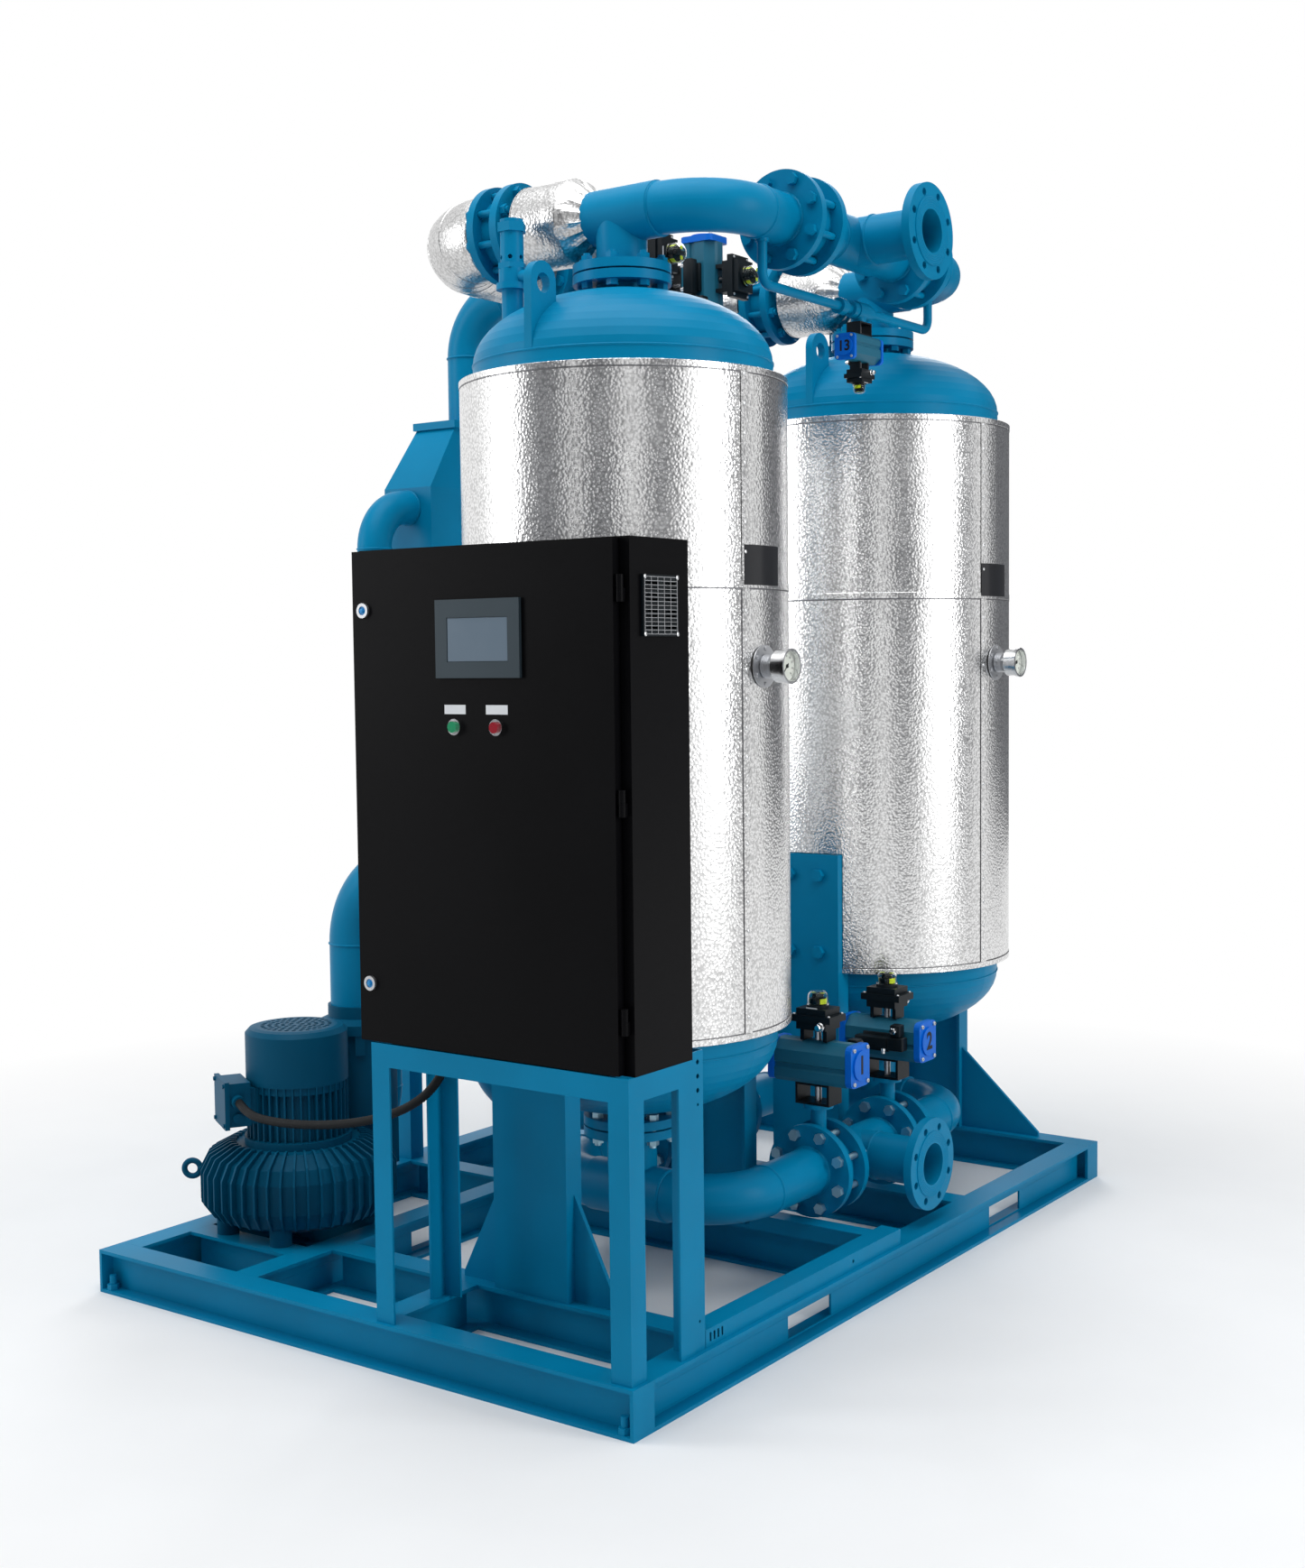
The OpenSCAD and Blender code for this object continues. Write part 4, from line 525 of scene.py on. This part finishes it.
bracket = (-0.001, 0.0519, 0.05, 0.035)
puck = (0.2375, math.inf, 0.03, 0.03)
label_low_z = 1.35
gauge_plate_x = 0.6432
lower_half_z = 1.0
finish_where("valve_actuators", lambda p: near_drive(p, *bracket), "plastic_black")
finish_where("button_bezels", lambda p: p.z < label_low_z, "polished_steel")
for node in ("inlet_disc_1", "inlet_disc_2", "exhaust_disc_1", "exhaust_disc_2", "hot_disc_1", "hot_disc_2",
             "fill_stem"):
    finish_where(node, lambda p: near_drive(p, *puck), "plastic_black")
finish_where("pressure_gauges", lambda p: p.x < gauge_plate_x, "worked_steel")
finish_where("flange_bolts", lambda p: p.z < lower_half_z, "plated_blue")

# %% [markdown]
# A jacket is wrapped from two courses of sheet. Where the courses lap there is a raised edge,
# the upright seams are pop-riveted, and both rims are hemmed. A bump in the finish could draw all this, but
# a real edge catches the light, so bands and strips are short lathe turns. Rivets are flat cones with few
# faces, as there are many. A thin dark strip beside a lap stands for the shadow in its gap.

# %% Jacket seams
tower_at = [Vector((0.274, -0.42, 0)), Vector((0.274, 0.72, 0))]
jacket_r = 0.365
rims_and_lap = ((0.641, 0.655, 0.0012), (2.058, 2.072, 0.0012), (1.606, 1.622, 0.0010))
courses = ((0.655, 1.606), (1.622, 2.058))
gap_bands = ((1.6032, 1.6059), (0.6553, 0.6572), (2.0556, 2.0577))
seam_at = (-11.5, 160.0)
seam_wide = 3.4
gap_wide = 0.34
gap_before = 0.35
gap_in = jacket_r + 0.0001
gap_out = jacket_r + 0.0007
rivet_z = [0.69 + 0.062 * k for k in range(23)]
rivet_z = [z for z in rivet_z if not 1.59 < z < 1.64]


def band(near, far, low, high, lip=0.0, steps=96, angle=math.tau):
    return lathe([(near, low), (far, low + lip), (far, high - lip), (near, high)], steps, angle)


def turned(centre, degrees):
    return Matrix.Translation(centre) @ Matrix.Rotation(math.radians(degrees), 4, "Z")


seams = bmesh.new()
gaps = bmesh.new()
rivets = bmesh.new()
for centre in tower_at:
    for low, high, proud in rims_and_lap:
        join(seams, band(jacket_r, jacket_r + proud, low, high, lip=0.001), Matrix.Translation(centre))
    for low, high in gap_bands:
        join(gaps, band(gap_in, gap_out, low, high), Matrix.Translation(centre))
    for at in seam_at:
        for low, high in courses:
            strip = band(jacket_r, jacket_r + 0.0012, low, high, steps=4, angle=math.radians(seam_wide))
            join(seams, strip, turned(centre, at))
        strip = band(gap_in, gap_out, 0.657, 1.6032, steps=2, angle=math.radians(gap_wide))
        join(gaps, strip, turned(centre, at - gap_before))
        a = math.radians(at + seam_wide / 2)
        away = Vector((math.cos(a), math.sin(a), 0))
        for z in rivet_z:
            head = lathe([(0.0042, 0), (0.0036, 0.0012), (0.0018, 0.002), (0, 0.0021)], 8)
            join(rivets, head, towards(away, centre + away * (jacket_r + 0.001) + Vector((0, 0, z))))
piece("jacket_seams", seams, "jacket_stucco")
piece("seam_gaps", gaps, "seam_shade")
piece("jacket_rivets", rivets, "zinc_steel")
print("seams on", len(tower_at), "jackets")

# %% [markdown]
# Pipes are welded, and a weld shows as a low ring of metal under the paint. Each bead is a thin ring
# round the joint: at both ends of every bend, at the tees' ends, at the flange necks and round the vessels.
# A bump could suggest it, but a ring also shows in the pipe's outline. Fine rings on the two port faces are
# the grooves that grip a gasket. Inward is the way along Y from a tower to the middle of the machine.

# %% Weld beads
inward = (1, -1)
pipe_r = 0.057
bend_r = 0.1525
tee_half = 0.105
flange_h = 0.022
middle_y = 0.15
port_x = 0.748
riser_x = -0.65
rear_x = -0.676
neck_bead = 0.004
spool_faces = ((low_z, 0.374), (high_z, 0.274))
header_faces = ((low_z, 0.144), (high_z, 0.23))
spool_necks = (0.402 - flange_h, 2.308 + flange_h)
nozzle_roots = (2.268, 0.442)
vessel_seams = (0.603, 2.107)
groove_radii = (0.0565, 0.0615, 0.0665, 0.0715, 0.0765)
shape = bmesh.new()


def bead(place, axis, radius=pipe_r, thick=0.0032):
    join(shape, ring_bead(radius, thick), towards(axis, place))


for way, centre in zip(inward, tower_at):
    for z, face in spool_faces:
        for s in (1, -1):
            if z == low_z or s > 0:
                pipe = centre + Vector((s * (tee_half + bend_r), 0, z))
                bead(centre + Vector((s * tee_half, 0, z)), along_x)
                bead(pipe + Vector((0, way * bend_r, 0)), along_y)
                bead(pipe + Vector((0, way * (face - flange_h), 0)), along_y, thick=neck_bead)
    for z in spool_necks:
        bead(centre + Vector((0, 0, z)), along_z, thick=neck_bead)
    for z in nozzle_roots:
        bead(centre + Vector((0, 0, z)), along_z, 0.058, 0.0045)
    for z in vessel_seams:
        join(shape, ring_bead(0.3338, 0.0026, 96), Matrix.Translation(centre + Vector((0, 0, z))))
for z, half in header_faces:
    for s in (1, -1):
        bead((header_x, middle_y + s * tee_half, z), along_y)
        bead((header_x, middle_y + s * (half - flange_h), z), along_y, thick=neck_bead)
    bead((header_x + 0.066, middle_y, z), along_x)
    bead((port_x - flange_h, middle_y, z), along_x, thick=neck_bead)
for s in (1, -1):
    bead((exhaust_x, middle_y + s * tee_half, low_z), along_y)
    bead((hot_x, middle_y + s * tee_half, high_z), along_y)
bead((riser_x + bend_r, middle_y, low_z), along_x)
bead((riser_x, middle_y, low_z + bend_r), along_z)
bead((rear_x + bend_r, middle_y, high_z), along_x)
bead((rear_x, middle_y, high_z - bend_r), along_z)
for y, z, axis in ((-0.349, 0.22, along_y), (-0.235, 0.334, along_z),
                   (-0.235, 1.753, along_z), (-0.107, 1.867, along_y)):
    bead((rear_x, y, z), axis, 0.0445, 0.0028)
for x, z, axis in ((-0.547, 0.757, along_z), (-0.357, 0.947, along_x)):
    bead((x, -0.458, z), axis, 0.07, 0.003)
for z in (low_z, high_z):
    for radius in groove_radii:
        join(shape, ring_bead(radius, 0.0009, 64), towards(along_x, (port_x - 0.0003, middle_y, z)))
welds = piece("pipe_welds", shape, "blue_enamel", smooth=60)
print("weld faces", len(welds.data.polygons))

# %% [markdown]
# The hot pipes wear foil-faced wool. The fitter cuts darts in the foil and folds it down to the pipe, which
# leaves a fan of creased flaps. A cone is spun with many steps and its points are pushed in and out by turns,
# so that every second edge becomes a fold; thin hoops mark the gores of the bend.

# %% Foil ends and gores


def crimped(inner, outer, length, darts, depth):
    outline = [(outer, 0.0), (outer * 0.94, length * 0.22), (outer * 0.8, length * 0.6), (inner, length)]
    part = lathe(outline, darts * 3)
    for v in part.verts:
        turn_at = math.atan2(v.co.y, v.co.x) / math.tau * darts
        beat = abs((turn_at % 1) - 0.5) * 2
        lean = math.sin(turn_at * 2.4 + math.sin(turn_at * 5.1)) * 0.4
        share = min(1.0, v.co.z / length * 1.6)
        flat = Vector((v.co.x, v.co.y, 0))
        share *= 1 if v.co.z < length * 0.95 else 0.4
        v.co += flat.normalized() * depth * (beat - 0.5 + lean * 0.5) * share
    return part


foil_r = 0.0962
sleeve_r = 0.0605
darts = 19
shape = bmesh.new()
for way, centre in zip(inward, tower_at):
    fan = towards(along_x, centre + Vector((-0.114, 0, high_z)))
    join(shape, crimped(0.0585, foil_r, 0.046, darts, 0.008), fan)
    cuff = lathe([(foil_r, -0.0395), (0.0966, -0.036), (0.0966, -0.004), (foil_r, 0)], 57)
    join(shape, cuff, fan)
    back_end = towards(-along_x, centre + Vector((-0.243, 0, high_z)))
    join(shape, crimped(sleeve_r, foil_r, 0.012, darts, 0.004), back_end)
    far_end = towards((0, way, 0), Vector((hot_x, centre.y + way * 0.322, high_z)))
    join(shape, crimped(sleeve_r, foil_r, 0.014, darts, 0.004), far_end)
    bend_at = Vector((hot_x + bend_r, centre.y + way * bend_r, high_z))
    for degrees in (0.0, 22.5, 45.0, 67.5, 90.0):
        t = math.radians(degrees)
        spot = bend_at + Vector((-math.sin(t) * bend_r, -way * math.cos(t) * bend_r, 0))
        ahead = Vector((-math.cos(t), way * math.sin(t), 0))
        hoop = lathe([(0.0948, -0.008), (foil_r, -0.006), (0.0965, 0.006), (0.0948, 0.008)], 56)
        join(shape, hoop, towards(ahead, spot))
piece("foil_ends", shape, "foil_stucco", smooth=22)
print("foil ends made")

# %% [markdown]
# Clear plastic and glass let the background through. A Principled shader with full transmission is enough,
# because the walls of every dome and lens are modelled with their real thickness.

# %% Clear finishes and prints
tree, shader = finish("clear_plastic", (0.93, 0.95, 0.93), rough=0.08)
shader.inputs["Transmission Weight"].default_value = 1.0
shader.inputs["IOR"].default_value = 1.15
grime = noise(tree, 60, 2)
vary_gloss(tree, shader, grime.outputs["Fac"], 0.03, 0.12)
tree, shader = finish("screen_glass", linear(104, 120, 134), rough=0.16, coat=0.5)
grime = noise(tree, 25, 2)
vary_gloss(tree, shader, grime.outputs["Fac"], 0.12, 0.22)
enamel("lock_blue", linear(36, 140, 205), rough=0.35, coat=0.2, peel=300)
enamel("flag_yellow", linear(196, 214, 30), rough=0.4, peel=300, spread=0.05)
enamel("dial_white", linear(238, 238, 234), rough=0.5, peel=200, spread=0.02)
enamel("print_black", linear(12, 12, 14), rough=0.5, peel=200, spread=0.05)
enamel("plate_dark", linear(26, 27, 31), rough=0.3, coat=0.2, peel=200, spread=0.1)


def lettering(words, size, weight=0.0):
    curve = bpy.data.curves.new("words", "FONT")
    curve.body = words
    curve.size = size
    curve.extrude = 0.0002
    curve.offset = weight
    curve.align_x = "CENTER"
    curve.align_y = "CENTER"
    holder = bpy.data.objects.new("words", curve)
    data = bpy.data.meshes.new_from_object(holder)
    part = bmesh.new()
    part.from_mesh(data)
    bpy.data.objects.remove(holder)
    bpy.data.curves.remove(curve)
    bpy.data.meshes.remove(data)
    return part


def facing(place, across, upward, out):
    turn = Matrix((Vector(across), Vector(upward), Vector(out))).transposed().to_4x4()
    return Matrix.Translation(place) @ turn


print("clear finishes and lettering ready")

# %% [markdown]
# Each tower's gauge gets a printed dial: a white disc, a scale of ticks over 270 degrees and plain numbers.
# The dial lies on the case's floor behind the needle, and a lens closes the rim. A picture could serve as a
# dial, but marks that are thin solids stay sharp at any size.

# %% Gauge dials and lenses
gauge_z = 1.44
dial_x = 0.69535
mark_x = 0.69582
lens_x = 0.7036
tick_r = 0.0285
number_r = 0.0215
dial = bmesh.new()
marks = bmesh.new()
lens = bmesh.new()
for centre in tower_at:
    hub = Vector((0, centre.y, gauge_z))
    mark_at = hub + Vector((mark_x, 0, 0))
    disc = lathe([(0, 0), (0.0324, 0), (0.0324, 0.0004), (0, 0.0004)], 48)
    join(dial, disc, towards(along_x, hub + Vector((dial_x, 0, 0))))
    for k in range(41):
        a = math.radians(225 - 270 * k / 40)
        ray = Vector((0, math.cos(a), math.sin(a)))
        long = k % 5 == 0
        tick = soft_block((0.0046 if long else 0.0024, 0.0009 if long else 0.0004, 0.0002), 0.00002, 1)
        join(marks, tick, facing(mark_at + ray * tick_r, ray, (0, -ray.z, ray.y), along_x))
        if long:
            word = lettering(str(k // 5 * 2), 0.0062)
            join(marks, word, facing(mark_at + ray * number_r, along_y, along_z, along_x))
    glass = lathe([(0, 0), (0.0328, 0), (0.0328, 0.0018), (0, 0.0018)], 48)
    join(lens, glass, towards(along_x, hub + Vector((lens_x, 0, 0))))
piece("gauge_dials", dial, "dial_white")
piece("gauge_marks", marks, "print_black", smooth=0)
piece("gauge_lenses", lens, "clear_plastic")
print("dials", len(tower_at))

# %% [markdown]
# A ribbed collar covers the pipe between a gauge's case and the round plate on the jacket, and six small
# screws hold the plate. The ribs could be a row of rings, but one outline with its grooves drawn in gives
# a closed shape from a single spin.

# %% Gauge necks
rib_step = 0.0036
screw_ring = 0.038
collar_outline = [(0.0114, 0), (0.023, 0), (0.026, 0.003)]
for k in range(5):
    up_by = k * rib_step
    collar_outline += [(0.026, 0.0045 + up_by), (0.0248, 0.0051 + up_by), (0.026, 0.0066 + up_by)]
collar_outline += [(0.024, 0.0224), (0.0114, 0.0224), (0.0114, 0)]
necks = bmesh.new()
for centre in tower_at:
    wall = centre + Vector((jacket_r, 0, gauge_z))
    join(necks, lathe(collar_outline, 32), towards(along_x, wall + Vector((0.0035, 0, 0))))
    for k in range(6):
        a = math.tau * (k + 0.5) / 6
        head = lathe([(0.0046, 0), (0.0046, 0.002), (0.0034, 0.003), (0, 0.003)], 6)
        spot = wall + Vector((0.0033, math.cos(a) * screw_ring, math.sin(a) * screw_ring))
        join(necks, head, towards(along_x, spot))
piece("gauge_necks", necks, "worked_steel")
print("necks", len(tower_at))

# %% [markdown]
# Each valve drive carries small things the solids leave out: cap screws, a solenoid valve with its coil,
# and a chrome gland and a blank label on the switch box. The solenoid sits on the side away from the gland.
# They are small and come seven times over, so soft blocks and short lathe turns are enough.

# %% Valve drive fittings
coil_x = 0.063
coil_y = 0.0652
screw_y = (0.031, -0.031)
screws = bmesh.new()
coils = bmesh.new()
glands = bmesh.new()
labels = bmesh.new()
for k, drive in enumerate(valve_frames):
    side = 1 if k in (0, 2, 4) else -1
    for s in (1, -1):
        for y in screw_y:
            for z in (0.062, 0.142):
                head = lathe([(0.0052, 0), (0.0052, 0.0035), (0.0044, 0.0045), (0.0026, 0.0045),
                              (0.0026, 0.002), (0, 0.002)], 14)
                join(screws, head, drive @ towards((s, 0, 0), (s * 0.1141, y, z)))
    for size, edge, spot in (((0.072, 0.0102, 0.046), 0.0012, (-0.005, side * 0.0462, 0.098)),
                             ((0.09, 0.027, 0.028), 0.003, (-0.005, side * coil_y, 0.101)),
                             ((0.044, 0.03, 0.034), 0.004, (coil_x, side * coil_y, 0.101)),
                             ((0.028, 0.028, 0.031), 0.004, (coil_x, side * coil_y, 0.134))):
        join(coils, soft_block(size, edge), drive @ Matrix.Translation(spot))
    nose = lathe([(0.0085, 0), (0.0085, 0.008), (0.0065, 0.009), (0.0065, 0.016), (0, 0.016)], 6)
    join(glands, nose, drive @ towards((0, side, 0), (coil_x, side * 0.0792, 0.136)))
    for x in (-0.035, 0.025):
        elbow = lathe([(0.006, 0), (0.006, 0.007), (0.0048, 0.008), (0.0048, 0.014), (0, 0.014)], 12)
        join(glands, elbow, drive @ towards(-along_z, (x, side * coil_y, 0.0872)))
    boss = lathe([(0.0115, 0), (0.0115, 0.007), (0.0095, 0.008), (0.0095, 0.017), (0.007, 0.021),
                  (0, 0.021)], 8)
    join(glands, boss, drive @ towards((0, -side, 0), (0.028, -side * 0.0322, 0.19)))
    for x in (0.047, -0.047):
        for y in screw_y:
            head = lathe([(0.0036, 0), (0.0036, 0.002), (0.0028, 0.0028), (0, 0.0028)], 10)
            join(screws, head, drive @ towards(along_z, (x, y, 0.2142)))
    tag = soft_block((0.03, 0.018, 0.0008), 0.0002, 1)
    join(labels, tag, drive @ facing((0, -side * 0.0301, 0.2235), (side, 0, 0), along_z, (0, -side, 0)))
piece("drive_screws", screws, "zinc_steel")
piece("solenoid_valves", coils, "plastic_black")
piece("cable_glands", glands, "polished_steel")
piece("box_labels", labels, "label_white")
print("drives fitted", len(valve_frames))

# %% [markdown]
# The position of a valve is read from a flag under a clear dome. The dome is fixed to the switch box,
# and the yellow half of the flag turns with the stem, so it rides on that stem's body. The dome's inner and
# outer wall are one outline, so that a single spin gives it a true thickness and its foot.

# %% Domes and flags
dome_outline = [(0.0268, 0.2373), (0.0268, 0.2398), (0.0246, 0.2402), (0.0246, 0.2545), (0.0228, 0.2625),
                (0.0162, 0.2692), (0.0075, 0.2712), (0, 0.2714), (0, 0.2699), (0.0072, 0.2697),
                (0.0154, 0.2679), (0.0214, 0.2618), (0.0231, 0.2542), (0.0231, 0.2373), (0.0268, 0.2373)]
wedge_outline = [(0.02005, 0.2392), (0.0208, 0.2395), (0.0208, 0.2515), (0.02005, 0.2518)]
domes = bmesh.new()
for stem, drive in zip(stems, valve_frames):
    join(domes, lathe(dome_outline, 40), drive)
    flag = bmesh.new()
    for turn_at in (-45, 135):
        wedge = lathe(wedge_outline, 12, math.radians(90))
        join(flag, wedge, drive @ Matrix.Rotation(math.radians(turn_at), 4, "Z"))
    for s in (1, -1):
        bar = soft_block((0.009, 0.0096, 0.0006), 0.0001, 1)
        join(flag, bar, drive @ Matrix.Translation((s * 0.0125, 0, 0.26432)))
    piece("flag_" + stem, flag, "flag_yellow", body=stem)
piece("indicator_domes", domes, "clear_plastic")
print("domes and flags", len(stems))

# %% [markdown]
# A plain number on an end cap tells the drives apart. It faces as the cap does: to the ports' side on the
# upright drives, down on the lying ones, and to the cabinet on the hanging one, whose number is smaller.
# A text curve is made a mesh first, so that its place can be in its points, as with every other piece.

# %% Drive numbers
cap_face = 0.1192
cap_z = 0.102
to_ports = (along_y, along_z, along_x)
to_floor = (along_y, along_x, -along_z)
to_cabinet = (along_x, along_z, -along_y)
numbers = bmesh.new()
for drive, word, lie in zip(valve_frames, "123456", [to_ports] * 4 + [to_floor] * 2):
    spot = drive @ Vector((cap_face, 0, cap_z))
    join(numbers, lettering(word, 0.06, weight=0.0016), facing(spot, *lie))
spot = valve_frames[6] @ Vector((-cap_face, 0, cap_z))
join(numbers, lettering("13", 0.034, weight=0.0009), facing(spot, *to_cabinet))
piece("drive_numbers", numbers, "print_black", smooth=0)
print("numbers", len(valve_frames))

# %% [markdown]
# The cabinet's panel and locks are small, but they sit at eye height. The screen is a thin sheet set in the
# panel's recess and swings with the door. Every lock gets a key post, which turns with it. The solids have
# the recess and the lock already, so a soft-edged sheet and a short turned post are all that is missing.

# %% Screen and key posts
shape = soft_block((0.151, 0.0008, 0.084), 0.0003, 1)
bmesh.ops.translate(shape, verts=shape.verts, vec=(0.4155, -1.0955, 1.499))
piece("panel_screen", shape, "screen_glass", body="door")
post_outline = [(0.0088, 0), (0.0088, 0.0006), (0.0042, 0.0006), (0.0042, 0.0042), (0.0034, 0.0048),
                (0, 0.0048)]
for body, z in (("upper_lock", 1.561), ("lower_lock", 0.805)):
    post = bmesh.new()
    join(post, lathe(post_outline, 20))
    wing = soft_block((0.0105, 0.0024, 0.0032), 0.0004, 1)
    join(post, wing, Matrix.Translation((0, 0, 0.0022)))
    post.transform(towards(-along_y, (0.112, -1.0938, z)))
    piece("key_post_" + body, post, "lock_blue", body=body)
print("screen and key posts made")

# %% [markdown]
# Each jacket carries one blank dark plate, bent to its curve. A flat sheet would stand off the cylinder at
# both ends, so the plate is a part turn on the lathe, like the bands at the seams.

# %% Blank plates
plate_wide = 21
plates = bmesh.new()
for centre, at in zip(tower_at, (0.0, -1.0)):
    bent = band(jacket_r + 0.0002, jacket_r + 0.0016, 1.612, 1.698, lip=0.001, steps=10,
                angle=math.radians(plate_wide))
    join(plates, bent, turned(centre, at - plate_wide / 2))
piece("blank_plates", plates, "plate_dark")
print("plates", len(tower_at))

# %% [markdown]
# The cabinet's vent is a sheet punched with a grid of small windows. Cutting them would mean seventy holes in
# a CAD node, which stays as it is, so thin bars laid over it draw the same grid. A screw sits at each corner.

# %% Vent grid
low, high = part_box("vent_grille")
margin = 0.008
columns = 5
rows = 14
middle = (Vector(low) + Vector(high)) / 2
wide = high[1] - low[1] - margin
tall = high[2] - low[2] - margin
bar_x = high[0] + 0.0005
grid = bmesh.new()
for k in range(columns + 1):
    bar = soft_block((0.0012, 0.0013, tall), 0.0003, 1)
    join(grid, bar, Matrix.Translation((bar_x, middle.y + wide * (k / columns - 0.5), middle.z)))
for k in range(rows + 1):
    bar = soft_block((0.0012, wide, 0.0011), 0.0003, 1)
    join(grid, bar, Matrix.Translation((bar_x, middle.y, middle.z + tall * (k / rows - 0.5))))
piece("vent_grid", grid, "worked_steel")
heads = bmesh.new()
for sy in (1, -1):
    for sz in (1, -1):
        head = lathe([(0.0042, 0), (0.0042, 0.0014), (0.0028, 0.0022), (0, 0.0022)], 12)
        spot = Vector((high[0] + 0.0008, middle.y + sy * wide / 2, middle.z + sz * tall / 2))
        join(heads, head, towards(along_x, spot))
piece("vent_screws", heads, "zinc_steel")
print("vent windows", columns * rows)

# %% [markdown]
# The picture is a cut-out on white, so the room is plain: a pale floor, a white surround that the camera and
# the bright metal see, and soft lamps. The surround lights the object at a plain level only. One helper tells
# the rays that see a thing from those that only light it.

# %% White surround


def seen_directly(tree):
    path = add(tree, "ShaderNodeLightPath")
    seen = add(tree, "ShaderNodeMath", operation="ADD")
    seen_all = add(tree, "ShaderNodeMath", operation="ADD", use_clamp=True)
    tree.links.new(path.outputs["Is Camera Ray"], seen.inputs[0])
    tree.links.new(path.outputs["Is Glossy Ray"], seen.inputs[1])
    tree.links.new(seen.outputs["Value"], seen_all.inputs[0])
    tree.links.new(path.outputs["Is Transmission Ray"], seen_all.inputs[1])
    return seen_all.outputs["Value"]


def blend(tree, share, first, second, out):
    mix = add(tree, "ShaderNodeMixShader")
    tree.links.new(share, mix.inputs["Fac"])
    tree.links.new(first, mix.inputs[1])
    tree.links.new(second, mix.inputs[2])
    tree.links.new(mix.outputs["Shader"], out.inputs["Surface"])


world = bpy.data.worlds.new("studio")
scene.world = world
world.use_nodes = True
tree = world.node_tree
tree.nodes.clear()
out = add(tree, "ShaderNodeOutputWorld")
glow = add(tree, "ShaderNodeBackground", Color=(0.86, 0.93, 1.0, 1), Strength=0.3)
white = add(tree, "ShaderNodeBackground", Color=(1, 1, 1, 1), Strength=1.0)
blend(tree, seen_directly(tree), glow.outputs["Background"], white.outputs["Background"], out)
print("surround ready")

# %% [markdown]
# The floor is pale near the machine, where its shadow falls. A plain floor would end in a grey line against
# the white, so its finish fades to pure white further out, by the distance from the middle.

# %% Floor
fade_from = 1.7
fade_to = 3.2
enamel("floor_pale", (0.88, 0.88, 0.88), rough=0.7, peel=60, spread=0.01)
tree = finishes["floor_pale"].node_tree
place = add(tree, "ShaderNodeTexCoord")
reach = add(tree, "ShaderNodeVectorMath", operation="LENGTH")
fade = add(tree, "ShaderNodeMapRange")
fade.inputs["From Min"].default_value = fade_from
fade.inputs["From Max"].default_value = fade_to
share = add(tree, "ShaderNodeMath", operation="MULTIPLY")
glow = add(tree, "ShaderNodeEmission", Strength=1.0)
tree.links.new(place.outputs["Object"], reach.inputs[0])
tree.links.new(reach.outputs["Value"], fade.inputs["Value"])
tree.links.new(fade.outputs["Result"], share.inputs[0])
tree.links.new(seen_directly(tree), share.inputs[1])
pale = tree.nodes["Principled BSDF"]
blend(tree, share.outputs["Value"], pale.outputs["BSDF"], glow.outputs["Emission"],
      tree.nodes["Material Output"])
shape = bmesh.new()
bmesh.ops.create_grid(shape, x_segments=1, y_segments=1, size=14)
floor = mesh_object("floor", shape, "floor_pale")
print("floor fades from", fade_from, "to", fade_to)

# %% [markdown]
# Bright sheet in an all-white room looks like paper. Photographers stand grey screens out of view, and the
# cylinders show them as upright grey bands between white ones. They only show in reflections here.

# %% Grey screens
screen_away = 7.5
screen_arcs = ((-128, -92), (-82, -60), (-43, -21), (8, 32), (52, 118))
enamel("screen_grey", (0.22, 0.22, 0.23), rough=0.9, peel=20, spread=0.05)
for k, (low, high) in enumerate(screen_arcs):
    bearing = math.radians((low + high) / 2)
    half = math.tan(math.radians((high - low) / 2)) * screen_away
    away = Vector((math.cos(bearing), math.sin(bearing), 0))
    side = Vector((-math.sin(bearing), math.cos(bearing), 0))
    foot = away * screen_away + Vector((0.27, 0.15, 0))
    ends = ((-1, 0.3), (1, 0.3), (1, 6), (-1, 6))
    corners = [foot + side * s * half + Vector((0, 0, z)) for s, z in ends]
    shape = bmesh.new()
    shape.faces.new([shape.verts.new(corner) for corner in corners])
    screen = mesh_object("screen_" + str(k), shape, "screen_grey")
    screen.visible_camera = False
    screen.visible_diffuse = False
    screen.visible_shadow = False
print("grey screens", len(screen_arcs))

# %% [markdown]
# Four soft lamps light the machine: one overhead, one on each side, and one behind that lifts the far edges.
# Small lamps would draw hard shadows and bright dots on the paint, so all are wide area lamps.

# %% Lamps


def lamp(name, place, aim, size, power):
    light = bpy.data.lights.new(name, "AREA")
    light.shape = "RECTANGLE"
    light.size = size[0]
    light.size_y = size[1]
    light.energy = power
    thing = bpy.data.objects.new(name, light)
    scene.collection.objects.link(thing)
    thing.location = place
    thing.rotation_euler = (Vector(aim) - Vector(place)).to_track_quat("-Z", "Y").to_euler()


lamp("top_soft", (0.5, -1.5, 6.0), (0, 0, 1), (5, 5), 260)
lamp("left_soft", (-5.0, -4.5, 3.0), (0, 0, 1.2), (2.0, 4.0), 120)
lamp("right_soft", (6.0, 0.5, 2.6), (0, 0.2, 1.2), (1.6, 4.0), 130)
lamp("back_soft", (-3.0, 5.5, 4.0), (0, 0, 1.4), (3.0, 3.0), 140)
print("lamps", len(bpy.data.lights))
